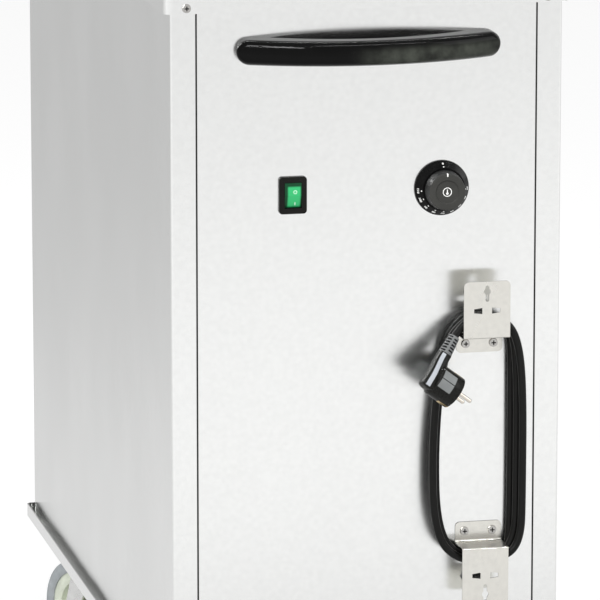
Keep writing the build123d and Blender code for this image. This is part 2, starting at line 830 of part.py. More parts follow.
boot_dir = Vector(cos(radians(boot_rise)), 0, sin(radians(boot_rise)))
boot_root = at(gland_x, strand_out, gland_z)
with BuildPart() as cord_gland:
    with BuildSketch(front_face):
        with Locations((gland_x, gland_z)):
            RegularPolygon(gland_radius, 6)
    extrude(amount=gland_flange)
    with BuildSketch(front_face):
        with Locations((gland_x, gland_z)):
            Circle(gland_body_radius)
    extrude(amount=strand_out)
    with Locations(boot_root):
        Sphere(gland_body_radius)
    with BuildSketch(Plane(origin=boot_root, z_dir=boot_dir)):
        Circle(boot_radius)
    with BuildSketch(Plane(origin=boot_root + boot_dir * boot_length, z_dir=boot_dir)):
        Circle(boot_tip_radius)
    loft()
    with BuildSketch(front_face):
        with Locations((gland_x, gland_z)):
            Circle(gland_radius)
    extrude(amount=-gland_radius, mode=Mode.SUBTRACT)
    with BuildSketch(front_face):
        with Locations((gland_x, gland_z)):
            Circle(gland_spigot_radius - running_clearance)
    extrude(amount=-gland_spigot_length)
    with BuildSketch(Plane.XZ.offset(-front_y - sheet)):
        with Locations((gland_x, gland_z)):
            RegularPolygon(gland_radius, 6)
    extrude(amount=-gland_flange)
save(cord_gland, "cord_gland")


def corner_radii(points, share=0.45, cap=float("inf")):
    """Radius for each inner corner of a route: a share of its shorter run over half the turn's tangent."""
    radii = []
    for before, corner, after in zip(points, points[1:], points[2:]):
        first = corner - before
        second = after - corner
        half_turn = radians(first.get_angle(second)) / 2
        radii.append(min(share * min(first.length, second.length) / tan(half_turn), cap))
    return radii


def tube(route, radii, diameter):
    """Round cord swept along straight runs joined by tangent arcs."""
    with BuildPart() as cord:
        with BuildLine() as path:
            FilletPolyline(*route, radius=radii)
        with BuildSketch(Plane(origin=path.line @ 0, z_dir=path.line % 0)):
            Circle(diameter / 2)
        sweep()
    return cord, path.wire()


# the winding: out of the gland's sleeve, up the right, over the upper ledge, down the left, under the lower one
edge_right = bracket_x + bracket_width / 2
edge_left = bracket_x - bracket_width / 2
rights = [edge_right + right_strand_beyond + strand * right_strand_pitch for strand in range(strands)]
lefts = [edge_left - left_strand_beyond - strand * left_strand_pitch for strand in range(strands)]
boot_tip = boot_root + boot_dir * boot_length
winding_route = [
    boot_tip,
    at(rights[0] - first_bend_in, strand_out, boot_tip.Z + first_bend_low),
    at(rights[0], strand_out, boot_tip.Z + first_bend_high),
]
for strand in range(strands):
    right = rights[strand]
    left = lefts[strand]
    out = strand_out + strand * strand_out_pitch
    next_out = out + strand_out_pitch
    winding_route.append(at(right + side_bow, out, lower_ledge + straight_low))
    winding_route.append(at(right + side_bow, out, upper_ledge - straight_high))
    winding_route.append(at(right, out, upper_ledge + high_corner_right))
    winding_route.append(at(right - top_shoulder_right, out, upper_ledge + top_rise))
    if strand < strands - 1:
        winding_route.append(at(left + top_shoulder_left, out, upper_ledge + top_rise))
        winding_route.append(at(left, out, upper_ledge + high_corner_left))
        winding_route.append(at(left - side_bow, (out + next_out) / 2, upper_ledge - left_middle))
        winding_route.append(at(left, next_out, lower_ledge + low_corner_left))
        winding_route.append(at(left + low_shoulder_left, next_out, lower_ledge - low_drop))
        winding_route.append(at(rights[strand + 1] - low_shoulder_right, next_out, lower_ledge - low_drop))
        winding_route.append(at(rights[strand + 1], next_out, lower_ledge + low_corner_right))

pins = Vector(cos(radians(plug_turn)), 0, -sin(radians(plug_turn)))
flat_cord = Vector(sin(radians(plug_turn)), 0, cos(radians(plug_turn)))
cord_dir = flat_cord * cos(radians(plug_lean)) + Vector(0, 1, 0) * sin(radians(plug_lean))
plug_face = at(plug_x, plug_out, skirt_bottom - plug_z_below_skirt)
plug_axis = plug_face - pins * plug_axis_in
relief_end = plug_axis + cord_dir * (plug_neck_length + relief_length)
tail_bend = relief_end + cord_dir * tail_lead
winding_end = winding_route[-1] + (tail_bend - winding_route[-1]) / 2
tail_route = [winding_end, tail_bend, relief_end]
winding_route.append(winding_end)

winding_radii = corner_radii(winding_route, cap=side_bend)
cord_winding, winding_path = tube(winding_route, winding_radii, cord_diameter)
save(cord_winding, "cord_winding")
tail_radii = corner_radii(tail_route)
cord_tail, tail_path = tube(tail_route, tail_radii, cord_diameter)
save(cord_tail, "cord_tail")


def least_gap(line, diameter, step=3.0):
    """Least clear distance between a winding and itself, taken on points along its centre line."""
    count = int(line.length / step)
    points = [line @ (i / count) for i in range(count + 1)]
    skip = int(3 * diameter / step)
    return min(
        (points[i] - points[j]).length
        for i in range(len(points))
        for j in range(i + skip, len(points))
    ) - diameter


print("winding radii", [round(r, 1) for r in winding_radii])
print("tail radii", [round(r, 1) for r in tail_radii])
print("least gap of the winding to itself", round(least_gap(winding_path, cord_diameter), 2))
print("cord length", round(winding_path.length + tail_path.length))
for cord, path in ((cord_winding, winding_path), (cord_tail, tail_path)):
    print("volume over section times length", cord.part.volume / (pi * cord_diameter**2 / 4 * path.length))

# --- plug -----------------------------------------------------------------------------------------
plug_across = cord_dir.cross(pins)
face_plane = Plane(origin=plug_face, x_dir=cord_dir, z_dir=pins)
neck_plane = Plane(origin=plug_axis, x_dir=pins, z_dir=cord_dir)
relief_plane = Plane(origin=plug_axis + cord_dir * plug_neck_length, x_dir=pins, z_dir=plug_across * -1)
with BuildPart() as plug_body:
    with BuildSketch(face_plane):
        Circle(plug_barrel_radius)
    extrude(amount=-plug_barrel_depth)
    chamfer(plug_body.faces().sort_by(lambda f: -(f.center() - plug_face).dot(pins))[0].edges(), 1.0)
    with BuildSketch(face_plane.offset(-plug_barrel_depth)):
        Circle(plug_barrel_radius)
    with BuildSketch(face_plane.offset(-plug_depth)):
        with Locations((plug_back_shift, 0)):
            Circle(plug_back_radius)
    loft()
    with BuildSketch(neck_plane):
        Circle(plug_neck_radius)
    extrude(amount=plug_neck_length, taper=3)
    with BuildSketch(relief_plane):
        with BuildLine():
            rib_pitch = relief_length / relief_ribs
            outline = [(0, 0)]
            for rib in range(relief_ribs):
                start = rib * rib_pitch
                outline += [
                    (relief_radius - relief_groove, start),
                    (relief_radius - relief_groove, start + rib_pitch * 0.4),
                    (relief_radius, start + rib_pitch * 0.4),
                    (relief_radius, start + rib_pitch),
                ]
            outline += [(0, relief_length)]
            Polyline(*outline, close=True)
        make_face()
    revolve(axis=Axis(plug_axis, cord_dir))
    with BuildSketch(face_plane):
        with Locations((plug_barrel_radius, 0), (-plug_barrel_radius, 0)):
            Rectangle(2 * earth_sheet, earth_width)
    extrude(amount=-earth_length, mode=Mode.SUBTRACT)
save(plug_body, "plug_body")

with BuildPart() as plug_pins:
    with BuildSketch(face_plane):
        with Locations((0, -pin_spacing / 2), (0, pin_spacing / 2)):
            Circle(pin_radius)
    extrude(amount=pin_length)
    fillet(plug_pins.faces().sort_by(lambda f: -(f.center() - plug_face).dot(pins))[:2].edges(), 1.8)
    with BuildSketch(face_plane):
        earth_mid = plug_barrel_radius - earth_sheet / 2
        with Locations((earth_mid, 0), (-earth_mid, 0)):
            Rectangle(earth_sheet, earth_width)
    extrude(amount=-earth_length)
save(plug_pins, "plug_pins")

# --- castors --------------------------------------------------------------------------------------
# name, place of the swivel axis, heading of the trail from -X towards +Y, brake
castor_x = half_width - castor_side_in
castors = {
    "front_left": (-castor_x, front_y + castor_front_in, 270, True),
    "front_right": (castor_x, front_y + castor_front_in, 270, True),
    "rear_left": (-castor_x, rear_y - castor_rear_in, 90 + trail_angle_rear, False),
    "rear_right": (castor_x, rear_y - castor_rear_in, 90 - trail_angle_rear, False),
}
race_top = castor_height - plate_sheet
race_bottom = race_top - race_depth
crown_top = race_bottom - race_gap
crown_bottom = crown_top - fork_crown_height
leg_inner = wheel_width / 2 + fork_leg_gap

with BuildPart() as castor_plates:
    for x, y, heading, braked in castors.values():
        with BuildSketch(Plane.XY.offset(race_top)):
            with Locations((x, y)):
                RectangleRounded(plate_width, plate_depth, 8)
                with GridLocations(plate_width - 24, plate_depth - 22, 2, 2):
                    Circle(4.4, mode=Mode.SUBTRACT)
        extrude(amount=plate_sheet)
        with BuildSketch(Plane.XY.offset(race_bottom)):
            with Locations((x, y)):
                Circle(race_radius)
        extrude(amount=race_depth)
        with BuildSketch(Plane.XY.offset(race_bottom)):
            with Locations((x, y)):
                Circle(kingpin_radius + running_clearance)
        extrude(amount=kingpin_length + 1, mode=Mode.SUBTRACT)
save(castor_plates, "castor_plates")

for name, (x, y, heading, braked) in castors.items():
    trail = Vector(cos(radians(heading)), sin(radians(heading)), 0)
    across = trail.cross(Vector(0, 0, 1))
    hub_centre = Vector(x, y, wheel_radius) + trail * castor_trail
    side = Plane(origin=hub_centre, x_dir=trail, z_dir=across)
    wheel_axis = Axis(hub_centre, across)
    section = Plane(origin=hub_centre, x_dir=(0, 0, 1), z_dir=Vector(0, 0, 1).cross(across))
    crown_rise = crown_bottom - wheel_radius
    pedal_pivot = (-pedal_pivot_back, wheel_radius + pedal_pivot_rise)

    with BuildPart() as castor_fork:
        with BuildSketch(Plane.XY.offset(crown_bottom)):
            with Locations((x, y)):
                Circle(fork_crown_radius)
        extrude(amount=fork_crown_height)
        with BuildSketch(Plane.XY.offset(crown_top)):
            with Locations((x, y)):
                Circle(kingpin_radius)
        extrude(amount=kingpin_length)
        for plane, amount in ((side.offset(leg_inner), fork_leg_sheet), (side.offset(-leg_inner), -fork_leg_sheet)):
            with BuildSketch(plane):
                with BuildLine():
                    back = -castor_trail - fork_crown_radius * 0.72
                    front = -castor_trail + fork_crown_radius * 0.72
                    Polyline(
                        (back, crown_rise + fork_crown_height),
                        (front, crown_rise + fork_crown_height),
                        (fork_boss_radius, 0),
                        (0, -fork_boss_radius),
                        (-fork_boss_radius * 0.9, -fork_boss_radius * 0.45),
                        close=True,
                    )
                make_face()
                Circle(fork_boss_radius)
                Circle(axle_radius, mode=Mode.SUBTRACT)
                if braked:
                    with Locations(pedal_pivot):
                        Circle(pedal_pin_radius + running_clearance, mode=Mode.SUBTRACT)
            extrude(amount=amount)
    save(castor_fork, f"castor_fork_{name}")

    with BuildPart() as castor_axle:
        span = leg_inner + fork_leg_sheet
        with BuildSketch(side.offset(-span)):
            Circle(axle_radius)
        extrude(amount=2 * span)
        with BuildSketch(side.offset(span)):
            RegularPolygon(axle_head_radius, 6)
        extrude(amount=axle_head_height)
        with BuildSketch(side.offset(-span)):
            RegularPolygon(axle_head_radius, 6)
        extrude(amount=-axle_head_height)
    save(castor_axle, f"castor_axle_{name}")

    half = wheel_width / 2
    bore = axle_radius + running_clearance
    groove_in = tyre_inner - 9.5
    with BuildPart() as castor_hub:
        with BuildSketch(section):
            with BuildLine():
                Polyline(
                    (bore, -half - 2),
                    (hub_boss_radius, -half - 2),
                    (hub_boss_radius, -hub_web / 2),
                    (hub_rim_radius - 4, -hub_web / 2),
                    (hub_rim_radius - 4, -half + 3),
                    (groove_in, -half + 1),
                    (tyre_inner, -half + 2),
                    (tyre_inner, half - 2),
                    (groove_in, half - 1),
                    (hub_rim_radius - 4, half - 3),
                    (hub_rim_radius - 4, hub_web / 2),
                    (hub_boss_radius, hub_web / 2),
                    (hub_boss_radius, half + 2),
                    (bore, half + 2),
                    close=True,
                )
            make_face()
        revolve(axis=wheel_axis)
    save(castor_hub, f"castor_hub_{name}")

    with BuildPart() as castor_tyre:
        with BuildSketch(section) as tyre_section:
            with Locations(((tyre_inner + wheel_radius) / 2, 0)):
                Rectangle(wheel_radius - tyre_inner, wheel_width)
            fillet(tyre_section.vertices().filter_by(lambda v: (v - hub_centre).Z > 0).sort_by(Axis.Z)[-2:], tyre_round)
        revolve(axis=wheel_axis)
    save(castor_tyre, f"castor_tyre_{name}")

    if braked:
        with BuildPart() as brake_pedal:
            shoe = wheel_radius + pedal_shoe_gap
            with BuildSketch(side.offset(-pedal_width / 2)):
                with BuildLine():
                    Polyline(
                        pedal_pivot,
                        (-pedal_pivot_back / 2, shoe),
                        (3, shoe),
                        (pedal_length * 0.26, shoe + pedal_sheet + 0.5),
                        (pedal_length * 0.6, shoe - 1),
                        (pedal_length - 2, shoe - 3 * pedal_sheet),
                        (pedal_length, shoe - 2 * pedal_sheet),
                        (pedal_length * 0.62, shoe + pedal_sheet - 1),
                        (pedal_length * 0.27, shoe + 2 * pedal_sheet + 0.5),
                        (-pedal_pivot_back / 3, shoe + 2.5 * pedal_sheet),
                        close=True,
                    )
                make_face()
            extrude(amount=pedal_width)
            barrel_half = leg_inner - pedal_side_gap
            with BuildSketch(side.offset(-barrel_half)):
                with Locations(pedal_pivot):
                    Circle(pedal_barrel_radius)
            extrude(amount=2 * barrel_half)
            pin_half = leg_inner + fork_leg_sheet + pedal_pin_head
            with BuildSketch(side.offset(-pin_half)):
                with Locations(pedal_pivot):
                    Circle(pedal_pin_radius)
            extrude(amount=2 * pin_half)
        save(brake_pedal, f"brake_pedal_{name}")
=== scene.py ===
"""Looks of the plate dispenser cart: sheet metal, handle, switch, thermostat, mains cord and plug, castors,
plate wells with their lids, and the stage.

Frame: metres, +Z up, the floor at z = 0, the operator's end towards -Y, the right-hand side towards +X.
Lengths named "out" run from the front panel's face towards the operator.
"""
from math import cos, pi, radians, sin

import bmesh
import bpy
import numpy as np
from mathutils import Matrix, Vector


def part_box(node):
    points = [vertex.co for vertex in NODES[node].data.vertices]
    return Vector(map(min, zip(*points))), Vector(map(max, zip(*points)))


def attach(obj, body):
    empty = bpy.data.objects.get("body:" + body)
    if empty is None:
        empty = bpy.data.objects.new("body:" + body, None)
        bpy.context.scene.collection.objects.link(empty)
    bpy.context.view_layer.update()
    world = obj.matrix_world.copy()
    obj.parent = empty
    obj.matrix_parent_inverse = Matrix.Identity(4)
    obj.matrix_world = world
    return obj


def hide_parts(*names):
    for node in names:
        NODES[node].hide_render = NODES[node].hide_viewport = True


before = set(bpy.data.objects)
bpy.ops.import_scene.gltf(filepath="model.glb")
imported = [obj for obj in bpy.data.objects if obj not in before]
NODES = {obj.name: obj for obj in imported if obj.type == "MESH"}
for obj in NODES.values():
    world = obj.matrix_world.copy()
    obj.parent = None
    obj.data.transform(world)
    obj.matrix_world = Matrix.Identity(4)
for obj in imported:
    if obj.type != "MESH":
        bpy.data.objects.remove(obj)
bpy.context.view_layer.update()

bl_info = {
    "name": "Plate dispenser cart",
    "version": (1, 0, 0),
    "blender": (4, 5, 0),
    "location": "3D View > Sidebar > Plate cart",
    "description": "Finishes, mains cord, plug, dial marks and stage of a heated plate dispenser cart",
    "category": "Object",
}

MM = 0.001
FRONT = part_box("front_panel")[0][1]
CORNERS = ("front_left", "front_right", "rear_left", "rear_right")
ENDS = ("front", "rear")


def middle(node):
    """Middle of a CAD node's box."""
    low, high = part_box(node)
    return [(low[axis] + high[axis]) / 2 for axis in range(3)]


# --- shared mesh and shader helpers ---
def mend_mesh(mesh, merge=1e-7):
    """Merges a mesh's doubles and turns its faces outwards."""
    work = bmesh.new()
    work.from_mesh(mesh)
    if merge:
        bmesh.ops.remove_doubles(work, verts=work.verts, dist=merge)
    bmesh.ops.recalc_face_normals(work, faces=work.faces)
    work.to_mesh(mesh)
    work.free()
    return mesh


def closed_mesh(name, points, faces, sharp=35, merge=1e-7):
    """Mesh with its doubles merged, its faces turned outwards, and smooth except over sharp edges."""
    mesh = bpy.data.meshes.new(name)
    mesh.from_pydata(points.tolist(), [], faces)
    mend_mesh(mesh, merge)
    mesh.shade_smooth()
    mesh.set_sharp_from_angle(angle=radians(sharp))
    return mesh


def grid_faces(rows, columns, wrap=False, start=0):
    """Quads between the neighbours of a grid, its last column joined to the first where it wraps."""
    last = columns if wrap else columns - 1
    row, column = np.meshgrid(np.arange(rows - 1), np.arange(last), indexing="ij")
    following = (column + 1) % columns
    corners = (row * columns + column, row * columns + following,
               (row + 1) * columns + following, (row + 1) * columns + column)
    return (np.stack(corners, -1).reshape(-1, 4) + start).tolist()


def tube_mesh(name, grid, sharp=35, merge=1e-7):
    """Closed skin over rings of points: quads between the rings, a face over each open end."""
    rows, columns = grid.shape[:2]
    faces = grid_faces(rows, columns, wrap=True)
    faces.append(list(range(columns)))
    faces.append([(rows - 1) * columns + column for column in range(columns)])
    return closed_mesh(name, grid.reshape(-1, 3), faces, sharp, merge)


def slab_mesh(name, outer, inner, sharp=35):
    """Closed plate between two grids of the same shape, with a wall along each of the four sides."""
    rows, columns = outer.shape[:2]
    count = rows * columns
    faces = grid_faces(rows, columns) + grid_faces(rows, columns, start=count)
    index = np.arange(count).reshape(rows, columns)
    for edge in (index[0], index[-1], index[:, 0], index[:, -1]):
        for first, second in zip(edge[:-1].tolist(), edge[1:].tolist()):
            faces.append([first, second, second + count, first + count])
    points = np.concatenate([outer.reshape(-1, 3), inner.reshape(-1, 3)])
    return closed_mesh(name, points, faces, sharp)


def points_at(x, y, z):
    """Points from three lengths, each a number or an array."""
    return np.stack(np.broadcast_arrays(x, y, z), -1)


def add_piece(data, finish, body, replaces=()):
    """Links a piece under its data's name, at the origin, with its finish and body."""
    piece = bpy.data.objects.new(data.name, data)
    bpy.context.scene.collection.objects.link(piece)
    data.materials.append(finish)
    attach(piece, body)
    if replaces:
        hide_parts(*replaces)
    return piece


def dress(finish, *nodes):
    """Gives CAD nodes a finish."""
    for node in nodes:
        NODES[node].data.materials[0] = finish


def new_finish(name, colour, metallic=0.0, roughness=0.5, gloss=0.5):
    """Node material with its constants on the shader itself."""
    finish = bpy.data.materials.new(name)
    finish.use_nodes = True
    tree = finish.node_tree
    shader = tree.nodes["Principled BSDF"]
    shader.inputs["Base Color"].default_value = (*colour, 1.0)
    shader.inputs["Metallic"].default_value = metallic
    shader.inputs["Roughness"].default_value = roughness
    shader.inputs["Specular IOR Level"].default_value = gloss
    return finish, tree, shader


def clouds(tree, stretch, detail=3.0):
    """Noise on the object's own coordinates; stretch is in cycles per metre, for all axes or for each."""
    place = tree.nodes.new("ShaderNodeTexCoord")
    scale = tree.nodes.new("ShaderNodeMapping")
    scale.inputs["Scale"].default_value = stretch if isinstance(stretch, tuple) else (stretch,) * 3
    tree.links.new(place.outputs["Object"], scale.inputs["Vector"])
    noise = tree.nodes.new("ShaderNodeTexNoise")
    noise.inputs["Scale"].default_value = 1.0
    noise.inputs["Detail"].default_value = detail
    tree.links.new(scale.outputs["Vector"], noise.inputs["Vector"])
    return noise.outputs["Fac"]


def respan(tree, value, start, end, low=0.0, high=1.0, smooth=False):
    """Maps one range of a value onto another, with soft ends where smooth."""
    node = tree.nodes.new("ShaderNodeMapRange")
    if smooth:
        node.interpolation_type = "SMOOTHSTEP"
    for name, number in (("From Min", start), ("From Max", end), ("To Min", low), ("To Max", high)):
        node.inputs[name].default_value = number
    tree.links.new(value, node.inputs["Value"])
    return node.outputs["Result"]


def vary(tree, value, target, low, high, start=0.3, end=0.7):
    """Spreads a noise over a range and links it to a shader's number."""
    tree.links.new(respan(tree, value, start, end, low, high), target)


def tint(tree, value, target, dark, light, start=0.3, end=0.7):
    """Blends two colours by a noise and links the result to a shader's colour."""
    ramp = tree.nodes.new("ShaderNodeValToRGB")
    for element, place, colour in zip(ramp.color_ramp.elements, (start, end), (dark, light)):
        element.position = place
        element.color = (*colour, 1.0)
    tree.links.new(value, ramp.inputs["Fac"])
    tree.links.new(ramp.outputs["Color"], target)


def emboss(tree, shader, heights):
    """Adds up heights, each a (noise, depth in metres) pair, as one chain of bumps."""
    normal = None
    for value, depth in heights:
        bump = tree.nodes.new("ShaderNodeBump")
        bump.inputs["Distance"].default_value = depth
        tree.links.new(value, bump.inputs["Height"])
        if normal is not None:
            tree.links.new(normal, bump.inputs["Normal"])
        normal = bump.outputs["Normal"]
    tree.links.new(normal, shader.inputs["Normal"])


def reckon(tree, operation, *values):
    """Math node on sockets and constants."""
    node = tree.nodes.new("ShaderNodeMath")
    node.operation = operation
    for socket, value in zip(node.inputs, values):
        if isinstance(value, (int, float)):
            socket.default_value = value
        else:
            tree.links.new(value, socket)
    return node.outputs["Value"]


def product(tree, *values):
    """Chain of multiplications."""
    result = values[0]
    for value in values[1:]:
        result = reckon(tree, "MULTIPLY", result, value)
    return result


def own_place(tree, output="Object"):
    """The three parts of a surface point's own coordinates, or of its own normal."""
    place = tree.nodes.new("ShaderNodeTexCoord")
    split = tree.nodes.new("ShaderNodeSeparateXYZ")
    tree.links.new(place.outputs[output], split.inputs["Vector"])
    return [split.outputs[axis] for axis in "XYZ"]


def colour_mix(tree, share):
    """Mix of two colours by a share: its two colour sockets and its result."""
    mix = tree.nodes.new("ShaderNodeMix")
    mix.data_type = "RGBA"
    tree.links.new(share, mix.inputs[0])
    first, second = [socket for socket in mix.inputs if socket.type == "RGBA"]
    return first, second, [socket for socket in mix.outputs if socket.type == "RGBA"][0]


def blend_in(tree, share, shader, colour):
    """Puts another colour over the one already linked to the shader, by a share from 0 to 1."""
    base = shader.inputs["Base Color"]
    source = base.links[0].from_socket
    first, second, result = colour_mix(tree, share)
    tree.links.new(source, first)
    second.default_value = (*colour, 1.0)
    tree.links.new(result, base)


def shades(colour, spread):
    """A darker and a lighter shade around a colour."""
    dark = [channel * (1 - spread) for channel in colour]
    light = [min(1.0, channel * (1 + spread)) for channel in colour]
    return dark, light


# --- finishes ---
def satin_steel(name, colour, roughness, grain=(2400.0, 2400.0, 22.0), depth=4e-6, spread=0.02, brushed=0):
    """Satin sheet steel: straight grain, mottle and smudges; brushed steel also blurs across its grain."""
    finish, tree, shader = new_finish(name, colour, metallic=1.0, roughness=roughness)
    if brushed:
        shader.inputs["Anisotropic"].default_value = brushed
        along = tree.nodes.new("ShaderNodeTangent")
        along.direction_type = "RADIAL"
        along.axis = "Z"
        tree.links.new(along.outputs["Tangent"], shader.inputs["Tangent"])
    fine = clouds(tree, grain, 2.0)
    mottle = clouds(tree, 170.0, 4.0)
    smudge = clouds(tree, (7.0, 7.0, 5.0))
    tint(tree, mottle, shader.inputs["Base Color"], *shades(colour, spread))
    vary(tree, smudge, shader.inputs["Roughness"], roughness - 0.03, roughness + 0.04)
    emboss(tree, shader, [(fine, depth), (mottle, 2 * depth)])
    return finish


def zinc_plate(name, colour, roughness=0.28):
    """Zinc-plated pressings: bright, with a cloudy passivated bloom."""
    finish, tree, shader = new_finish(name, colour, metallic=1.0, roughness=roughness)
    bloom_and_painted_reflection = clouds(tree, 90.0, 5.0)
    tint(tree, bloom_and_painted_reflection, shader.inputs["Base Color"], *shades(colour, 0.08))
    vary(tree, bloom_and_painted_reflection, shader.inputs["Roughness"], roughness - 0.06, roughness + 0.12)
    emboss(tree, shader, [(bloom_and_painted_reflection, 4e-5)])
    return finish


def bracket_sheet(name, colour):
    """Bent sheet steel with flats 36 mm apart, with painted shade: darker on its ledge and on its laser-cut
    edges.
    """
    middle_out, edge_at, ledge_end = 18.0 * MM, 16.75 * MM, 16.0 * MM
    finish = satin_steel(name, colour, 0.24, depth=9e-6, spread=0.03, brushed=0.5)
    tree = finish.node_tree
    shader = tree.nodes["Principled BSDF"]
    # Painted shade on the cut edges: faces turned sideways within the two flats take a dark grey.
    sideways = reckon(tree, "LESS_THAN", reckon(tree, "ABSOLUTE", own_place(tree, "Normal")[1]), 0.5)
    off_middle = reckon(tree, "ABSOLUTE", reckon(tree, "SUBTRACT", own_place(tree)[1], FRONT - middle_out))
    edge_shade = product(tree, sideways, reckon(tree, "GREATER_THAN", off_middle, edge_at))
    blend_in(tree, edge_shade, shader, (0.13, 0.125, 0.115))
    # Painted shade on the ledge: faces turned up between the two flats take a darker grey.
    ledge = product(tree, reckon(tree, "GREATER_THAN", own_place(tree, "Normal")[2], 0.8),
                    reckon(tree, "LESS_THAN", off_middle, ledge_end))
    blend_in(tree, ledge, shader, (0.46, 0.45, 0.42))
    return finish


def gloss_moulding(name, colour, bloom_and_painted_reflection, roughness=0.06):
    """Glossy moulded plastic, crowned and slightly wavy, with a painted reflection: a grey put on in
    mottled patches low on its front, towards its right.
    """
    reflection_from, reflection_to = -35.0 * MM, 20.0 * MM
    crown_drop, crown_reach = 2.6 * MM, 14.0 * MM
    finish, tree, shader = new_finish(name, colour, roughness=roughness, gloss=0.12)
    patches = clouds(tree, 60.0, 5.0)
    tint(tree, patches, shader.inputs["Base Color"], *shades(colour, 0.2))
    # Painted reflection: the given grey is blended over forward faces low on the handle, more to the right,
    # in mottled patches.
    rightward = respan(tree, own_place(tree)[0], reflection_from, reflection_to, smooth=True)
    patchy = reckon(tree, "MULTIPLY_ADD", patches, 1.6, -0.25)
    forward = reckon(tree, "LESS_THAN", own_place(tree, "Normal")[1], -0.55)
    lift = reckon(tree, "SUBTRACT", own_place(tree)[2], middle("handle")[2])
    lower = respan(tree, lift, 10.0 * MM, -1.0 * MM, smooth=True)
    blend_in(tree, product(tree, rightward, patchy, forward, lower), shader, bloom_and_painted_reflection)
    crown = product(tree, lift, lift, -crown_drop / crown_reach ** 2)
    wave = clouds(tree, 38.0, 1.0)
    dust = clouds(tree, 420.0, 2.0)
    vary(tree, dust, shader.inputs["Roughness"], roughness, roughness + 0.07, start=0.45, end=0.8)
    emboss(tree, shader, [(crown, 1.0), (wave, 1.2e-4)])
    return finish


def satin_moulding(name, colour, roughness=0.38, grain=900.0, gloss=0.25):
    """Satin moulded plastic with a fine spark-eroded grain."""
    finish, tree, shader = new_finish(name, colour, roughness=roughness, gloss=gloss)
    texture = clouds(tree, grain, 2.0)
    patch = clouds(tree, 35.0)
    tint(tree, patch, shader.inputs["Base Color"], *shades(colour, 0.12))
    vary(tree, texture, shader.inputs["Roughness"], roughness - 0.05, roughness + 0.08)
    emboss(tree, shader, [(texture, 2.5e-5)])
    return finish


def cord_jacket(name, colour):
    """Soft flexible jacket: satin, faintly ribbed by the cores beneath."""
    finish, tree, shader = new_finish(name, colour, roughness=0.34, gloss=0.16)
    core = clouds(tree, (150.0, 150.0, 40.0), 2.0)
    rub = clouds(tree, (600.0, 600.0, 90.0), 2.0)
    tint(tree, rub, shader.inputs["Base Color"], *shades(colour, 0.25))
    vary(tree, core, shader.inputs["Roughness"], 0.28, 0.42)
    emboss(tree, shader, [(core, 1.5e-4), (rub, 1.5e-5)])
    return finish


def tyre_rubber(name, colour):
    """Grey non-marking rubber with a dusty tread."""
    finish, tree, shader = new_finish(name, colour, roughness=0.62)
    dust = clouds(tree, 60.0, 6.0)
    grain = clouds(tree, 1100.0, 2.0)
    tint(tree, dust, shader.inputs["Base Color"], *shades(colour, 0.14))
    vary(tree, dust, shader.inputs["Roughness"], 0.55, 0.75)
    emboss(tree, shader, [(grain, 4e-5)])
    return finish


def clear_lid(name, colour):
    """Clear polycarbonate with fine wiping marks."""
    finish, tree, shader = new_finish(name, colour, roughness=0.03)
    shader.inputs["Transmission Weight"].default_value = 1.0
    shader.inputs["IOR"].default_value = 1.5
    wipes = clouds(tree, (30.0, 160.0, 30.0), 5.0)
    vary(tree, wipes, shader.inputs["Roughness"], 0.015, 0.09, start=0.45, end=0.75)
    return finish


def switch_lens(name, colour, rim, centre, half):
    """Translucent rocker in its own green inside a soft box about centre, with painted shade from the
    bezel's walls round it; centre and half are lengths.
    """
    soft = 1.2 * MM
    finish, tree, shader = new_finish(name, colour, roughness=0.16, gloss=0.2)
    across, _, up = own_place(tree)
    # Painted shade: outside a soft box about centre the lens takes the dark rim colour.
    inside = 1.0
    for length, centre_at, reach in zip((across, up), centre, half):
        away = reckon(tree, "ABSOLUTE", reckon(tree, "SUBTRACT", length, centre_at))
        inside = product(tree, inside, respan(tree, away, reach + soft, reach - soft, smooth=True))
    tint(tree, inside, shader.inputs["Base Color"], rim, colour, start=0.0, end=1.0)
    depth = clouds(tree, (260.0, 260.0, 90.0), 2.0)
    vary(tree, depth, shader.inputs["Roughness"], 0.12, 0.24)
    return finish


def windowed_sleeve(name, colour, pocket):
    """Moulded sleeve: its pockets painted near-black as painted shade and its ribs a lighter grey as a
    painted sheen; the mesh carries the pockets as an attribute.
    """
    finish, tree, shader = new_finish(name, colour, roughness=0.34, gloss=0.3)
    mask = tree.nodes.new("ShaderNodeAttribute")
    mask.attribute_name = "pocket"
    grain = clouds(tree, 700.0, 2.0)
    # Painted shade and sheen: pockets take the near-black pocket colour, ribs the lighter grey.
    tint(tree, mask.outputs["Fac"], shader.inputs["Base Color"], colour, pocket, start=0.1, end=0.7)
    vary(tree, grain, shader.inputs["Roughness"], 0.3, 0.42)
    emboss(tree, shader, [(grain, 2e-5)])
    return finish


def print_ink(name, colour):
    """Pad-printed mark with slightly uneven ink."""
    finish, tree, shader = new_finish(name, colour, roughness=0.45)
    tint(tree, clouds(tree, 1500.0, 2.0), shader.inputs["Base Color"], *shades(colour, 0.1))
    return finish


# --- properties ---
def colour_field(name, description, default):
    """Colour in a settings group."""
    return bpy.props.FloatVectorProperty(
        name=name, description=description, subtype="COLOR", default=default, min=0, max=1
    )


def number_field(name, description, default, unit="NONE", **limits):
    """Number in a settings group."""
    return bpy.props.FloatProperty(name=name, description=description, default=default, unit=unit, **limits)


class SteelFinish(bpy.types.PropertyGroup):
    """Colour and surface of the cabinet's sheet steel."""

    tone: colour_field("Tone", "Colour of the satin steel", (0.905, 0.91, 0.90))
    roughness: number_field("Roughness", "Blur of the steel's reflections", 0.17, min=0.05, max=0.9)
    grain_depth: number_field("Grain depth", "Depth of the fine grain", 2.5e-6, "LENGTH", precision=6)


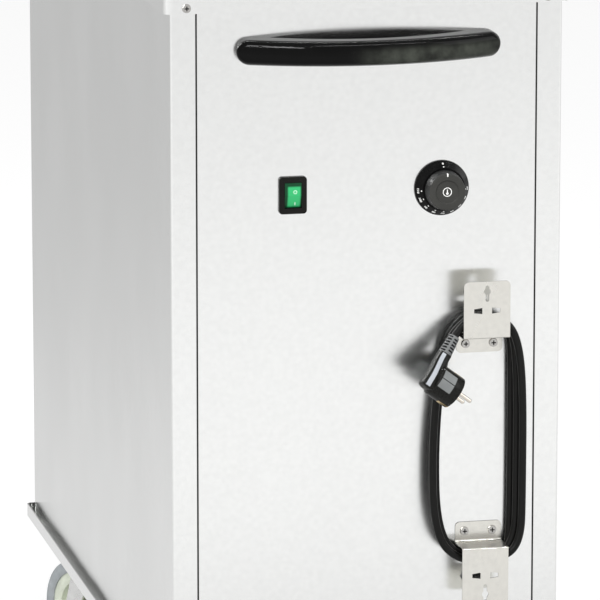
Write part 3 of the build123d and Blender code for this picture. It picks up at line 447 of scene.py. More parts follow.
class CordSizes(bpy.types.PropertyGroup):
    """Sizes of the mains cord and its colour."""

    diameter: number_field("Diameter", "Across the jacket", 0.009, "LENGTH")
    length: number_field("Length", "From the gland's sleeve to the plug's", 1.725, "LENGTH")
    jacket: colour_field("Jacket", "Colour of the jacket", (0.005, 0.005, 0.0045))


class DialMarks(bpy.types.PropertyGroup):
    """Printed marks of the thermostat."""

    digit_height: number_field("Digit height", "Height of the printed numbers", 0.0029, "LENGTH")
    ink: colour_field("Ink", "Colour of the printed marks", (0.86, 0.86, 0.84))


class StageSettings(bpy.types.PropertyGroup):
    """Floor, lamps and camera."""

    floor_tone: number_field("Floor", "Brightness of the floor", 0.9, min=0, max=1)
    world_light: number_field("Ambient light", "Light from all round", 0.62)
    key_power: number_field("Key lamp", "Power of the main lamp", 70.0, "POWER")
    lens: number_field("Lens", "Focal length in millimetres", 335.09)


# --- sheet metal ---
SCREW_RADIUS = 5.2 * MM


def cross_mesh(name, heads):
    """Slabs of two crossed bars, under the tops of screw heads that face the operator."""
    half, arm = 0.55 * MM, 2.5 * MM
    sinks = (0.9 * MM, 1.2 * MM)
    corner = np.array([(half, half), (half, arm), (-half, arm)])
    turns = [np.array([[cos(t), -sin(t)], [sin(t), cos(t)]]) for t in (0, pi / 2, pi, 3 * pi / 2)]
    across, up = np.concatenate([corner @ turn.T for turn in turns]).T
    count = len(across)
    points, faces = [], []
    for number, (x, y, z) in enumerate(heads):
        points += [points_at(x + across, y + sink, z + up) for sink in sinks]
        start = 2 * count * number
        faces += [list(range(start, start + count)), list(range(start + count, start + 2 * count))]
        faces += [[start + i, start + (i + 1) % count, start + (i + 1) % count + count, start + i + count]
                  for i in range(count)]
    return closed_mesh(name, np.concatenate(points), faces)


class CART_OT_sheet_metal(bpy.types.Operator):
    """Finish the cabinet's panels, deck, tray, posts and screws"""

    bl_idname = "cart.sheet_metal"
    bl_label = "Sheet metal"

    def execute(self, context):
        steel = context.scene.cart_steel
        tone, depth = tuple(steel.tone), steel.grain_depth
        upright = satin_steel("satin_steel", tone, steel.roughness, depth=depth, brushed=0.8)
        flat = satin_steel("deck_steel", tone, steel.roughness, grain=(2400.0, 22.0, 2400.0), depth=depth)
        dress(upright, "left_side_panel", "right_side_panel", "front_panel", "rear_panel")
        dress(flat, "top_deck", "base_tray")
        # Painted shade: the corner posts are near-black so that the seams between the panels show dark.
        dress(satin_moulding("post_paint", (0.012, 0.012, 0.012), 0.6), "corner_posts")
        dress(zinc_plate("screw_steel", (0.50, 0.49, 0.47), 0.12), "deck_screws", "bracket_screws")
        self.darken_recesses()
        return {"FINISHED"}

    def darken_recesses(self):
        """Dark crosses in the recesses of the two deck screws and of the four at the brackets' feet."""
        shadow = satin_moulding("recess_shadow", (0.006, 0.006, 0.006), 0.6, gloss=0.1)
        for head in ("deck_screw", "bracket_screw"):
            low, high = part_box(f"{head}s")
            columns = (low[0] + SCREW_RADIUS, high[0] - SCREW_RADIUS)
            rows = (low[2] + SCREW_RADIUS, high[2] - SCREW_RADIUS)
            if head == "deck_screw":
                rows = (sum(rows) / 2,)
            heads = [(x, low[1], z) for x in columns for z in rows]
            add_piece(cross_mesh(f"{head}_recess", heads), shadow, "cabinet")


# --- bow handle, switch and cord brackets ---
class CART_OT_handle(bpy.types.Operator):
    """Finish the bow handle"""

    bl_idname = "cart.handle"
    bl_label = "Bow handle"

    def execute(self, context):
        # The grey after the handle's near-black is the colour of its painted reflection, low on its right
        # front.
        dress(gloss_moulding("handle_gloss", (0.0012, 0.0012, 0.0012), (0.055, 0.06, 0.05)), "handle")
        return {"FINISHED"}


class CART_OT_brackets(bpy.types.Operator):
    """Finish the two cord brackets"""

    bl_idname = "cart.brackets"
    bl_label = "Cord brackets"

    def execute(self, context):
        steel = bracket_sheet("bracket_steel", (0.78, 0.765, 0.715))
        dress(steel, "cord_bracket_upper", "cord_bracket_lower")
        return {"FINISHED"}


PRINT_LIFT = 0.08 * MM
PRINT_THICKNESS = 0.12 * MM


def mark_slab(name, outline, place, lift=PRINT_LIFT):
    """Thin printed shape: an outline put in place by a function of its two lengths and a height."""
    across, up = np.array(outline).T
    levels = (lift, lift - PRINT_THICKNESS)
    return tube_mesh(name, np.stack([place(across, up, level) for level in levels]))


def ring_slab(name, radius, width, place, segments=40):
    """Thin printed ring of a mean radius and a line width."""
    turn = np.linspace(0, 2 * pi, segments, endpoint=False)
    inner, outer = radius - width / 2, radius + width / 2
    top, foot = PRINT_LIFT, PRINT_LIFT - PRINT_THICKNESS
    section = ((inner, top), (outer, top), (outer, foot), (inner, foot), (inner, top))
    grid = np.stack([place(r * np.cos(turn), r * np.sin(turn), level) for r, level in section])
    return closed_mesh(name, grid.reshape(-1, 3), grid_faces(len(section), segments, wrap=True))


def box_outline(width, height, x=0.0, y=0.0):
    """Corners of an upright rectangle about a point."""
    return [(x + i * width / 2, y + j * height / 2) for i, j in ((-1, -1), (1, -1), (1, 1), (-1, 1))]


def disc_outline(radius, x=0.0, y=0.0, segments=24):
    """Points round a small disc."""
    turns = [2 * pi * i / segments for i in range(segments)]
    return [(x + radius * cos(turn), y + radius * sin(turn)) for turn in turns]


class CART_OT_switch(bpy.types.Operator):
    """Finish the rocker switch and print its O and I"""

    bl_idname = "cart.switch"
    bl_label = "Rocker switch"

    def execute(self, context):
        dress(satin_moulding("switch_black", (0.006, 0.006, 0.005), 0.22, gloss=0.14), "switch_housing")
        x, _, z = middle("switch_housing")
        # The lens's dark rim is painted shade of the bezel's walls; its box sits 1.2 mm right of and 1.6 mm
        # below the switch's middle, so the shade is wider at the top and left.
        lens = switch_lens("switch_green", (0.035, 0.40, 0.14), (0.004, 0.05, 0.018),
                           (x + 1.2 * MM, z - 1.6 * MM), (7.2 * MM, 11.6 * MM))
        dress(lens, "switch_rocker")
        ink = print_ink("switch_ink", (0.62, 0.86, 0.70))
        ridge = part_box("switch_rocker")[0][1]
        slope = radians(16)
        x, z = x + 2.3 * MM, z - 2.4 * MM
        off_up, on_down = 6.3 * MM, 7.5 * MM

        def upper(across, up, lift):
            """Upright upper half of the rocker, about the O's middle."""
            return points_at(x + across, ridge - lift, z + off_up + up)

        def lower(across, up, lift):
            """Lower half, tilted back about the ridge, about the I's middle."""
            along = on_down - up
            back = along * sin(slope) - lift * cos(slope)
            return points_at(x + across, ridge + back, z - along * cos(slope))

        marks = (ring_slab("switch_mark_off", 1.8 * MM, 0.7 * MM, upper),
                 mark_slab("switch_mark_on", box_outline(0.9 * MM, 3.6 * MM), lower))
        for mark in marks:
            add_piece(mark, ink, "rocker")
        return {"FINISHED"}


# --- thermostat ---
DIAL_OUTER = 31.5 * MM
DIAL_INNER = 24.5 * MM
DIAL_FOOT = 2.0 * MM
DIAL_TOP = 12.0 * MM
FIRST_MARK = 92.0
MARK_STEP = 21.9
DIAL_SLANT = np.hypot(DIAL_OUTER - DIAL_INNER, DIAL_TOP - DIAL_FOOT)
DIGITS_AT = 0.42
DOTS_AT = 0.86


def dial_radius(slant):
    """Radius of the dial's cone at a share of the way from its rim to its top."""
    return DIAL_OUTER + (DIAL_INNER - DIAL_OUTER) * slant


def dial_cone(clock, slant, lift):
    """Point on the dial's cone: clock angle in radians, share of the way up its slant, height above it."""
    x, _, z = middle("thermostat_bezel")
    radius = dial_radius(slant) + lift
    out = DIAL_FOOT + (DIAL_TOP - DIAL_FOOT) * slant + lift
    return points_at(x + radius * np.sin(clock), FRONT - out, z + radius * np.cos(clock))


def digits_mesh(name, text, height, clock, slant):
    """Plain digits wrapped on the dial's cone with their tops towards its middle."""
    capital_share = 0.7
    letters = bpy.data.curves.new(name, "FONT")
    letters.body = text
    letters.size = height / capital_share
    letters.align_x = "CENTER"
    letters.align_y = "CENTER"
    letters.resolution_u = 3
    letters.extrude = 0.06 * MM
    letters.offset = 0.12 * MM
    holder = bpy.data.objects.new(name, letters)
    mesh = bpy.data.meshes.new_from_object(holder)
    bpy.data.objects.remove(holder)
    mesh.name = name
    points = np.zeros(len(mesh.vertices) * 3)
    mesh.vertices.foreach_get("co", points)
    across, up, lift = points.reshape(-1, 3).T
    placed = dial_cone(clock - across / dial_radius(slant), slant + up / DIAL_SLANT, lift + 0.04 * MM)
    mesh.vertices.foreach_set("co", placed.ravel())
    mesh.update()
    return mend_mesh(mesh)


class CART_OT_thermostat(bpy.types.Operator):
    """Finish the thermostat and print its numbers, dots, index and sign"""

    bl_idname = "cart.thermostat"
    bl_label = "Thermostat"

    def execute(self, context):
        marks = context.scene.cart_dial
        dial = satin_moulding("dial_black", (0.003, 0.003, 0.003), 0.28, grain=700.0, gloss=0.09)
        dress(dial, "thermostat_bezel")
        knob = satin_moulding("knob_black", (0.036, 0.036, 0.033), 0.36, grain=700.0, gloss=0.2)
        tree = knob.node_tree
        # Painted shade: the knob's side wall, the faces turned sideways, is blended near-black, darker than
        # its face.
        wall = reckon(tree, "LESS_THAN", reckon(tree, "ABSOLUTE", own_place(tree, "Normal")[1]), 0.6)
        blend_in(tree, wall, tree.nodes["Principled BSDF"], (0.004, 0.004, 0.004))
        dress(knob, "thermostat_knob")
        dress(satin_moulding("thermostat_case", (0.55, 0.55, 0.53), 0.5), "thermostat_body")
        ink = print_ink("dial_ink", tuple(marks.ink))
        values = [("0", 0.0)] + [(str(30 + 10 * step), FIRST_MARK + MARK_STEP * step) for step in range(9)]
        for text, degrees in values:
            clock = radians(degrees)

            def on_cone(across, up, lift, clock=clock):
                """Small shape on the cone about the number's own dot."""
                return dial_cone(clock - across / DIAL_INNER, DOTS_AT + up / DIAL_SLANT, lift)

            digits = digits_mesh(f"dial_number_{text}", text, marks.digit_height, clock, DIGITS_AT)
            add_piece(digits, ink, "cabinet")
            dot = mark_slab(f"dial_dot_{text}", disc_outline(0.8 * MM), on_cone)
            add_piece(dot, ink, "cabinet")
        for mark in self.knob_marks():
            add_piece(mark, ink, "knob")
        return {"FINISHED"}

    def knob_marks(self):
        """Index bent over the knob's rim, and a ring, a bulb and a stem in its dish."""
        x, _, z = middle("thermostat_knob")
        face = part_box("thermostat_knob")[0][1]
        dish = 1.5 * MM

        def in_dish(across, up, lift):
            """Floor of the knob's dish."""
            return points_at(x + across, face + dish - lift, z + up)

        up, drop = np.array([(17.6, 20.0, 21.0, 21.17), (0.0, 0.0, 1.0, 2.6)])[:, :, None] * MM
        across = np.linspace(-0.7, 0.7, 3) * MM
        skins = [points_at(x + across, face + drop - lift, z + up + lift)
                 for lift in (PRINT_LIFT, -0.06 * MM)]
        bulb = disc_outline(1.4 * MM, y=-1.6 * MM)
        stem = box_outline(1.0 * MM, 4.2 * MM, y=0.9 * MM)
        return (slab_mesh("knob_index", *skins),
                ring_slab("knob_sign_ring", 4.8 * MM, 0.8 * MM, in_dish),
                mark_slab("knob_sign_bulb", bulb, in_dish),
                mark_slab("knob_sign_stem", stem, in_dish, 0.07 * MM))


# --- mains cord ---
# In millimetres: the brackets' sides and ledges, the gland and its sleeve, the strands, the plug's barrel.
BRACKET_LEFT = 104.0
BRACKET_RIGHT = 158.0
UPPER_LEDGE = 583.0
LOWER_LEDGE = 337.0
GLAND = (122.0, 296.0)
GLAND_SLEEVE = 30.0
GLAND_TURN = radians(30)
STRANDS = 3
STRAND_OUT = 7.0
STRAND_PITCH = 9.5
BARREL_RADIUS = 19.25
# In metres: the plug's directions, the middle of its face, and lengths along its pins and its lead.
PLUG_TURN = radians(36.87)
PLUG_LEAN = radians(19.0)
PINS = np.array([cos(PLUG_TURN), 0.0, -sin(PLUG_TURN)])
LEAD_OUT = np.array([sin(PLUG_TURN) * cos(PLUG_LEAN), sin(PLUG_LEAN), cos(PLUG_TURN) * cos(PLUG_LEAN)])
ACROSS = np.cross(LEAD_OUT, PINS)
PLUG_FACE = np.array([89.6 * MM, FRONT - 52.0 * MM, 524.6 * MM])
PLUG_AXIS_IN = 33.5 * MM
NECK_LENGTH = 30.8 * MM
RELIEF_LENGTH = 23.0 * MM
TOWER_FOOT = -17.0 * MM
RELIEF_END = PLUG_FACE - PINS * PLUG_AXIS_IN + LEAD_OUT * (NECK_LENGTH + RELIEF_LENGTH)


def cord_route():
    """Control points of the cord, from the gland's sleeve round the brackets to the plug's sleeve."""
    def at(x, strand, z):
        return [x * MM, FRONT - (STRAND_OUT + strand * STRAND_PITCH) * MM, z * MM]

    rights = [BRACKET_RIGHT + 8.0 + 4.6 * strand for strand in range(STRANDS)]
    lefts = [BRACKET_LEFT - 26.5 - 5.5 * strand for strand in range(STRANDS)]
    tip_x = GLAND[0] + GLAND_SLEEVE * cos(GLAND_TURN)
    tip_z = GLAND[1] + GLAND_SLEEVE * sin(GLAND_TURN)
    route = [at(tip_x, 0, tip_z), at(rights[0] - 9.7, 0, tip_z + 4.8), at(rights[0], 0, tip_z + 21.5)]
    for strand, (right, left) in enumerate(zip(rights, lefts)):
        corner = BRACKET_RIGHT + 8.0 + strand
        route += [at(right + 1, strand, LOWER_LEDGE + 63), at(right + 1, strand, UPPER_LEDGE - 53),
                  at(corner, strand, UPPER_LEDGE + 4 - strand), at(corner - 20, strand, UPPER_LEDGE + 21)]
        if strand < STRANDS - 1:
            after = strand + 1
            route += [at(left + 35, strand, UPPER_LEDGE + 20), at(left + 10, strand, UPPER_LEDGE - 22),
                      at(left - 1, strand + 0.5, UPPER_LEDGE - 123), at(left + 1, after, LOWER_LEDGE + 18),
                      at(left + 30, after, LOWER_LEDGE - 16),
                      at(rights[after] - 22, after, LOWER_LEDGE - 16),
                      at(rights[after], after, LOWER_LEDGE + 4)]
    return route + [(RELIEF_END + LEAD_OUT * 26.0 * MM).tolist(), RELIEF_END.tolist()]


def plug_points(along, up, side):
    """Points by distances from the middle of the plug's face: along the pins, up the lead, across both."""
    return (PLUG_FACE + np.asarray(along)[..., None] * PINS + np.asarray(up)[..., None] * LEAD_OUT
            + np.asarray(side)[..., None] * ACROSS)


def ease(share):
    """Smooth step from 0 to 1."""
    share = np.clip(share, 0, 1)
    return share * share * (3 - 2 * share)


def plug_barrel_mesh():
    """Circles along the pins' axis: rounded rim, straight barrel, rounded shoulder and shrinking back."""
    turn = np.linspace(0, 2 * pi, 72, endpoint=False)
    bend = np.linspace(0, pi / 2, 8)[1:]
    round_off = 2.2
    depth = np.concatenate([[0.8, 0.8, 0, 0, 0.5, 9, 18, 28], 28 + round_off * np.sin(bend), [35, 39, 39]])
    radius = np.concatenate([[0, 16.9, 17.5, 18.7], [BARREL_RADIUS] * 4,
                             BARREL_RADIUS - round_off + round_off * np.cos(bend), [12, 7, 0]])
    shift = np.concatenate([np.zeros(15), [4.5, 6.0, 6.0]])
    depth, radius, shift = np.stack([depth, radius, shift])[:, :, None] * MM
    grid = plug_points(-depth, shift + radius * np.cos(turn), radius * np.sin(turn))
    return tube_mesh("plug_barrel", grid, 50)


def tower_form(share):
    """The plug's tower from its foot to the sleeve: middle depth, half width, near and far sides."""
    depth = (35.2 - 1.7 * share) * MM
    width = (8.6 - 1.4 * share) * MM
    slim = ease((share - 0.30) / 0.62)
    return depth, width, (14.2 - 6.4 * slim) * MM, (3.6 + 4.0 * slim) * MM


def plug_tower_mesh():
    """Superellipses of power four along the lead, fuller on the viewer's side, with a round foot."""
    turn = np.linspace(0, 2 * pi, 64, endpoint=False)
    foot_end = 0.08
    share = np.concatenate([np.linspace(0, foot_end, 8), np.linspace(foot_end, 1, 30)[1:]])[:, None]
    along = TOWER_FOOT + share * (NECK_LENGTH - TOWER_FOOT)
    foot = np.sqrt(np.clip(1 - (1 - np.clip(share / foot_end, 0, 1)) ** 2, 0.04, 1))
    power = (np.cos(turn) ** 4 + np.sin(turn) ** 4) ** -0.25
    depth, width, near, far = tower_form(share)
    side = (far - near) / 2 + (0.6 + 0.4 * foot) * (far + near) / 2 * power * np.sin(turn)
    grid = plug_points(foot * width * power * np.cos(turn) - depth, along, side)
    return tube_mesh("plug_tower", grid, 40)


def plug_strip_mesh():
    """Plain strip let into the tower's near side: it follows the superellipse 0.3 mm proud."""
    share = np.linspace(0.05, 0.97, 40)[:, None]
    across = np.linspace(-1, 1, 9)
    depth, width, near, far = tower_form(share)
    along = TOWER_FOOT + share * (NECK_LENGTH - TOWER_FOOT)
    off = (2.2 + 0.6 * share) * MM + (2.8 - 0.5 * share) * MM * across
    level = (near - far) / 2 + (near + far) / 2 * (1 - np.abs(off / width) ** 4) ** 0.25
    grids = [plug_points(-depth - off, along, -(level + rise)) for rise in (0.3 * MM, -0.8 * MM)]
    return slab_mesh("plug_strip", *grids, 40)


def plug_relief_mesh():
    """Tapered sleeve pressed in at rows of pockets, in two staggered columns on each side of a web."""
    pocket_depth = 2.0 * MM
    turn = np.linspace(0, 2 * pi, 192, endpoint=False)
    share = np.linspace(0, 1, 168)[:, None]
    base = (8.0 - 1.9 * share) * MM
    quarter = (turn + radians(18)) / (pi / 2)
    row = share * 6.2 - 0.15 + 0.5 * (np.floor(quarter) % 2)
    in_row = ease((0.29 - np.abs(row - np.floor(row) - 0.5)) / 0.07)
    in_quarter = ease((0.38 - np.abs(quarter - np.floor(quarter) - 0.5)) / 0.05)
    ends = ease((share - 0.05) / 0.02) * ease((0.94 - share) / 0.02)
    pocket = in_row * in_quarter * ends
    radius = base - pocket_depth * pocket
    grid = plug_points(-PLUG_AXIS_IN + radius * np.cos(turn), NECK_LENGTH + share * RELIEF_LENGTH,
                       radius * np.sin(turn))
    mesh = tube_mesh("plug_relief", grid, 30, merge=0)
    mesh.attributes.new("pocket", "FLOAT", "POINT").data.foreach_set("value", pocket.ravel())
    return mesh


def barrel_pad_mesh(name, low, high, side):
    """Curved pad on the barrel: a slab between two radii, from one angle to another and along the axis."""
    start, end, lift, inner = 11.0, 28.0, 0.3, 18.6
    angle = np.linspace(radians(low), radians(high), 16)
    depth = np.linspace(start, end, 8)[:, None]
    outer = BARREL_RADIUS + lift * np.sin(np.linspace(0, pi, 16)) ** 0.25
    grids = [plug_points(-depth * MM, r * MM * np.sin(angle), side * r * MM * np.cos(angle))
             for r in (outer, inner)]
    return slab_mesh(name, *grids, 40)


def pin_mesh(name, side):
    """Round pin with a domed tip, standing out of the plug's face to the side of its middle."""
    thick, length, tip = 2.4, 16.9, 2.1
    turn = np.linspace(0, 2 * pi, 32, endpoint=False)
    dome = np.linspace(0, pi / 2, 8)
    along = np.concatenate([[-1.0, -1.0, length], length + tip * np.sin(dome)])[:, None] * MM
    radius = np.concatenate([[0, thick, thick], thick * np.cos(dome)])[:, None] * MM
    return tube_mesh(name, plug_points(along, radius * np.cos(turn), side + radius * np.sin(turn)), 40)


def clip_mesh(name, side):
    """Earth clip: a strip let into the barrel's edge, bent over the face's rim."""
    along = np.array([0.4, 0.4, -1.5, -13.5])[:, None] * MM
    reach = np.array([16.2, 18.8, 19.4, 19.4])[:, None] * MM
    width = np.linspace(-3.0, 3.0, 6) * MM
    grids = [plug_points(along - inset * (along > 0), side * (reach - inset), width)
             for inset in (0.0, 0.9 * MM)]
    return slab_mesh(name, *grids, 30)


class CART_OT_plug(bpy.types.Operator):
    """Build the angled mains plug with its ribbed sleeve, pads, pins and earth clips"""

    bl_idname = "cart.plug"
    bl_label = "Mains plug"

    def execute(self, context):
        body = satin_moulding("plug_black", (0.007, 0.007, 0.006), 0.28, grain=500.0, gloss=0.16)
        pad = satin_moulding("plug_pad", (0.19, 0.20, 0.20), 0.5, grain=1400.0)
        plain = satin_moulding("plug_strip", (0.40, 0.42, 0.45), 0.45, grain=900.0)
        # The sleeve's grey ribs are a painted sheen on the plug's black, and its near-black pockets painted
        # shade.
        sleeve = windowed_sleeve("plug_sleeve", (0.15, 0.155, 0.155), (0.002, 0.002, 0.002))
        nickel = zinc_plate("pin_nickel", (0.80, 0.74, 0.66), 0.16)
        brass = zinc_plate("clip_brass", (0.74, 0.56, 0.30), 0.22)
        moulded = [(plug_barrel_mesh(), body), (plug_tower_mesh(), body), (plug_strip_mesh(), plain),
                   (plug_relief_mesh(), sleeve)]
        for side, word in ((-1, "near"), (1, "far")):
            for low, high, place in ((5, 38, "upper"), (-30, 2, "lower")):
                moulded.append((barrel_pad_mesh(f"plug_pad_{word}_{place}", low, high, side), pad))
        for mesh, finish in moulded:
            add_piece(mesh, finish, "cabinet", ["plug_body"])
        for side, word in ((-1, "low"), (1, "high")):
            add_piece(clip_mesh(f"plug_clip_{word}", side), brass, "cabinet", ["plug_pins"])
            pin = pin_mesh(f"plug_pin_{word}", side * 9.5 * MM)
            add_piece(pin, nickel, "cabinet", ["plug_pins"])
        return {"FINISHED"}


class CART_OT_cord(bpy.types.Operator):
    """Lay the mains cord round the two brackets, from the gland to the plug"""

    bl_idname = "cart.cord"
    bl_label = "Mains cord"

    def execute(self, context):
        sizes = context.scene.cart_cord
        route = cord_route()
        line = bpy.data.curves.new("mains_cord", "CURVE")
        line.dimensions = "3D"
        line.bevel_depth = sizes.diameter / 2
        line.bevel_resolution = 6
        line.resolution_u = 10
        line.use_fill_caps = True
        spline = line.splines.new("NURBS")
        spline.points.add(len(route) - 1)
        for point, place in zip(spline.points, route):
            point.co = (*place, 1.0)
        spline.order_u = 3
        spline.use_endpoint_u = True
        jacket = cord_jacket("cord_jacket", tuple(sizes.jacket))
        cord = add_piece(line, jacket, "cabinet", ["cord_winding", "cord_tail"])
        dress(satin_moulding("gland_black", (0.02, 0.02, 0.02), 0.4), "cord_gland")
        return {"FINISHED"}


# --- castors ---
class CART_OT_castors(bpy.types.Operator):
    """Finish the castors' plates, forks, axles, hubs, tyres and brakes"""

    bl_idname = "cart.castors"
    bl_label = "Castors"

    def execute(self, context):
        zinc = zinc_plate("zinc_plate", (0.78, 0.78, 0.77))
        bolt = zinc_plate("bolt_zinc", (0.70, 0.70, 0.69), 0.24)
        hub = satin_moulding("hub_cream", (0.70, 0.74, 0.62), 0.36, grain=500.0, gloss=0.5)
        rubber = tyre_rubber("tyre_grey", (0.35, 0.375, 0.39))
        dress(zinc, "castor_plates", "brake_pedal_front_left", "brake_pedal_front_right")
        for part, finish in (("fork", zinc), ("axle", bolt), ("hub", hub), ("tyre", rubber)):
            dress(finish, *[f"castor_{part}_{corner}" for corner in CORNERS])
        return {"FINISHED"}


# --- plate wells, lids and heater ---
class CART_OT_wells(bpy.types.Operator):
    """Finish the rings, platforms, guides, carriages and springs of both plate wells, and the heater"""

    bl_idname = "cart.wells"
    bl_label = "Plate wells"

    def execute(self, context):
        ring = satin_steel("ring_steel", (0.84, 0.84, 0.83), 0.22, grain=60.0, depth=8e-6)
        mill = satin_steel("frame_steel", (0.55, 0.55, 0.54), 0.45, depth=1.2e-5, spread=0.06)
        guide = satin_moulding("guide_white", (0.80, 0.80, 0.77), 0.45, gloss=0.5)
        spring = zinc_plate("spring_steel", (0.60, 0.60, 0.60), 0.3)
        for end in ENDS:
            dress(ring, f"well_ring_{end}", f"plate_platform_{end}")
            dress(mill, f"guide_cage_{end}", f"lift_carriage_{end}")
            dress(guide, f"plate_guides_{end}")
            dress(spring, f"lift_springs_{end}")
        dress(mill, "heater_bracket")
        sheath = satin_steel("heater_sheath", (0.25, 0.22, 0.20), 0.42, depth=1e-5, spread=0.12)
        dress(sheath, "heater_element")
        return {"FINISHED"}


class CART_OT_lids(bpy.types.Operator):
    """Finish the two clear lids and their knobs"""

    bl_idname = "cart.lids"
    bl_label = "Lids"

    def execute(self, context):
        dress(clear_lid("lid_clear", (0.93, 0.96, 0.97)), *[f"lid_{end}" for end in ENDS])
        knob = satin_moulding("lid_knob_black", (0.02, 0.02, 0.02), 0.3)
        dress(knob, *[f"lid_knob_{end}" for end in ENDS])
        return {"FINISHED"}


# --- stage ---
def ramp_along(tree, value, stops):
    """Grey levels along a coordinate: (place in metres, level) pairs."""
    first, last = stops[0][0], stops[-1][0]
    ramp = tree.nodes.new("ShaderNodeValToRGB")
    elements = ramp.color_ramp.elements
    while len(elements) < len(stops):
        elements.new(0.5)
    for element, (place, level) in zip(elements, stops):
        element.position = (place - first) / (last - first)
        element.color = (level, level, level, 1.0)
    tree.links.new(respan(tree, value, first, last), ramp.inputs["Fac"])
    return ramp.outputs["Color"]


MIRRORED_FLOOR = (
    (-7.0, 0.84), (-5.4, 0.87), (-4.9, 0.90), (-4.4, 0.92), (-3.85, 0.96), (-3.35, 0.98), (-2.9, 1.0),
    (-2.1, 1.0), (-1.77, 0.97), (-1.5, 0.91), (-1.2, 0.86), (0.0, 0.80), (0.93, 0.77), (1.3, 0.75),
    (1.8, 0.70), (2.5, 0.64), (3.2, 0.60), (3.9, 0.58), (5.3, 0.56), (9.0, 0.56),
)
MIRRORED_ACROSS = ((-1.5, 1.0), (-0.7, 1.0), (0.75, 0.965), (1.15, 1.0), (3.0, 1.0))
CAMERA_GLOW = 0.34


def floor_finish(tone):
    """Pale floor: white to the camera, pale to the light, to mirrors white in front and greyer behind."""
    finish, tree, shader = new_finish("pale_floor", (tone, tone, tone), roughness=0.9, gloss=0.2)
    rays = tree.nodes.new("ShaderNodeLightPath")
    across, away, _ = own_place(tree)
    first, second, result = colour_mix(tree, rays.outputs["Is Glossy Ray"])
    first.default_value = (tone, tone, tone, 1.0)
    second.default_value = (0.0, 0.0, 0.0, 1.0)
    tree.links.new(result, shader.inputs["Base Color"])
    level = product(tree, ramp_along(tree, away, MIRRORED_FLOOR), ramp_along(tree, across, MIRRORED_ACROSS))
    mirrored = product(tree, level, rays.outputs["Is Glossy Ray"])
    seen = product(tree, rays.outputs["Is Camera Ray"], CAMERA_GLOW)
    shader.inputs["Emission Color"].default_value = (1.0, 1.0, 1.0, 1.0)
    tree.links.new(reckon(tree, "ADD", mirrored, seen), shader.inputs["Emission Strength"])
    return finish


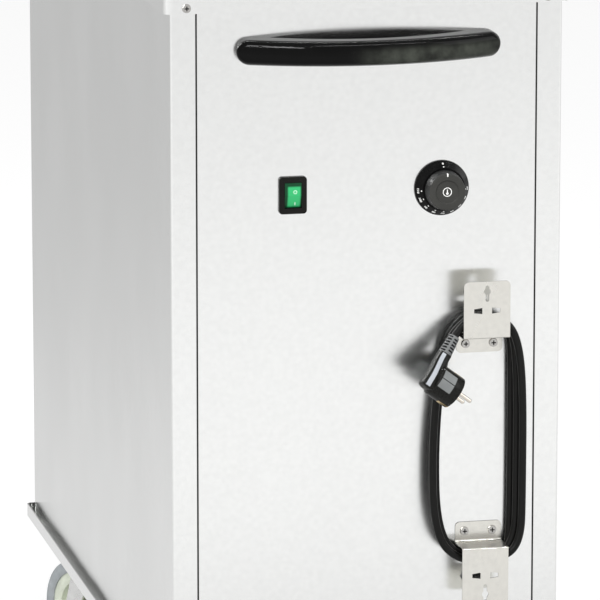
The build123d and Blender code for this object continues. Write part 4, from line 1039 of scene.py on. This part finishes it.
class CART_OT_stage(bpy.types.Operator):
    """Set up the floor, the lamps, the world and the camera"""

    bl_idname = "cart.stage"
    bl_label = "Stage"

    def execute(self, context):
        settings = context.scene.cart_stage
        mesh = bpy.data.meshes.new("floor")
        mesh.from_pydata([(x, y, 0) for x, y in box_outline(80.0, 80.0)], [], [(0, 1, 2, 3)])
        floor = bpy.data.objects.new("floor", mesh)
        context.scene.collection.objects.link(floor)
        mesh.materials.append(floor_finish(settings.floor_tone))
        self.light_world(context.scene, settings.world_light)
        power = settings.key_power
        self.add_lamp("key_lamp", (-2.2, -3.2, 3.4), (0.0, -0.2, 0.6), (1.3, 1.0), power)
        self.add_lamp("strip_lamp", (0.4, -1.9, 3.3), (0.0, -0.2, 0.8), (2.4, 0.04), power * 0.45)
        self.add_lamp("left_lamp", (-1.91, -3.48, 1.79), (-0.09, -0.49, 0.92), (1.7, 0.10), power * 0.4)
        self.add_lamp("fill_lamp", (3.2, -2.4, 2.2), (0.0, -0.2, 0.6), (2.2, 2.2), power * 0.35)
        self.add_camera(context.scene, settings.lens)
        return {"FINISHED"}

    def light_world(self, scene, strength):
        """White to the camera; to everything else brighter in front of the cart than behind it."""
        world = bpy.data.worlds.new("studio")
        world.use_nodes = True
        scene.world = world
        tree = world.node_tree
        sky = tree.nodes["Background"]
        sky.inputs["Color"].default_value = (1.0, 1.0, 1.0, 1.0)
        away = own_place(tree, "Generated")[1]
        rays = tree.nodes.new("ShaderNodeLightPath")
        mix = tree.nodes.new("ShaderNodeMix")
        mix.inputs["B"].default_value = 1.0
        tree.links.new(rays.outputs["Is Camera Ray"], mix.inputs["Factor"])
        tree.links.new(respan(tree, away, -0.6, 0.9, strength * 1.25, strength * 0.7), mix.inputs["A"])
        tree.links.new(mix.outputs["Result"], sky.inputs["Strength"])

    def add_lamp(self, name, place, target, size, power):
        """Softbox of a width and a height, turned to its target."""
        lamp = bpy.data.lights.new(name, "AREA")
        lamp.shape = "RECTANGLE"
        lamp.size, lamp.size_y = size
        lamp.energy = power
        holder = bpy.data.objects.new(name, lamp)
        bpy.context.scene.collection.objects.link(holder)
        holder.location = place
        way = holder.location.copy()
        way.xyz = [goal - start for goal, start in zip(target, place)]
        holder.rotation_euler = way.to_track_quat("-Z", "Y").to_euler()

    def add_camera(self, scene, lens):
        """Long lens, in front of the cart and to its left, looking down a little."""
        camera = bpy.data.cameras.new("camera")
        camera.lens = lens
        camera.sensor_width = 36.0
        camera.clip_end = 200.0
        holder = bpy.data.objects.new("camera", camera)
        scene.collection.objects.link(holder)
        holder.location = (-1.3994, -6.4507, 1.9379)
        holder.rotation_euler = (radians(90 - 12.0173), 0.0, radians(-12.4138))
        scene.camera = holder
        scene.view_settings.view_transform = "Standard"


OPERATORS = (
    CART_OT_sheet_metal,
    CART_OT_handle,
    CART_OT_brackets,
    CART_OT_switch,
    CART_OT_thermostat,
    CART_OT_plug,
    CART_OT_cord,
    CART_OT_castors,
    CART_OT_wells,
    CART_OT_lids,
    CART_OT_stage,
)
SETTINGS = {
    "cart_steel": SteelFinish,
    "cart_cord": CordSizes,
    "cart_dial": DialMarks,
    "cart_stage": StageSettings,
}


class CART_PT_sidebar(bpy.types.Panel):
    """Lists the cart's settings and the operators that make it"""

    bl_idname = "CART_PT_sidebar"
    bl_label = "Plate dispenser cart"
    bl_space_type = "VIEW_3D"
    bl_region_type = "UI"
    bl_category = "Plate cart"

    def draw(self, context):
        for holder, group in SETTINGS.items():
            box = self.layout.box()
            for name in group.__annotations__:
                box.prop(getattr(context.scene, holder), name)
        for operator in OPERATORS:
            self.layout.operator(operator.bl_idname)


def register():
    for group in SETTINGS.values():
        bpy.utils.register_class(group)
    for holder, group in SETTINGS.items():
        setattr(bpy.types.Scene, holder, bpy.props.PointerProperty(type=group))
    for operator in OPERATORS:
        bpy.utils.register_class(operator)
    bpy.utils.register_class(CART_PT_sidebar)


def unregister():
    bpy.utils.unregister_class(CART_PT_sidebar)
    for operator in reversed(OPERATORS):
        bpy.utils.unregister_class(operator)
    for holder, group in SETTINGS.items():
        delattr(bpy.types.Scene, holder)
        bpy.utils.unregister_class(group)


def main():
    """Makes the whole cart and its stage."""
    register()
    for operator in OPERATORS:
        group, name = operator.bl_idname.split(".")
        getattr(getattr(bpy.ops, group), name)()


if __name__ == "__main__":
    main()
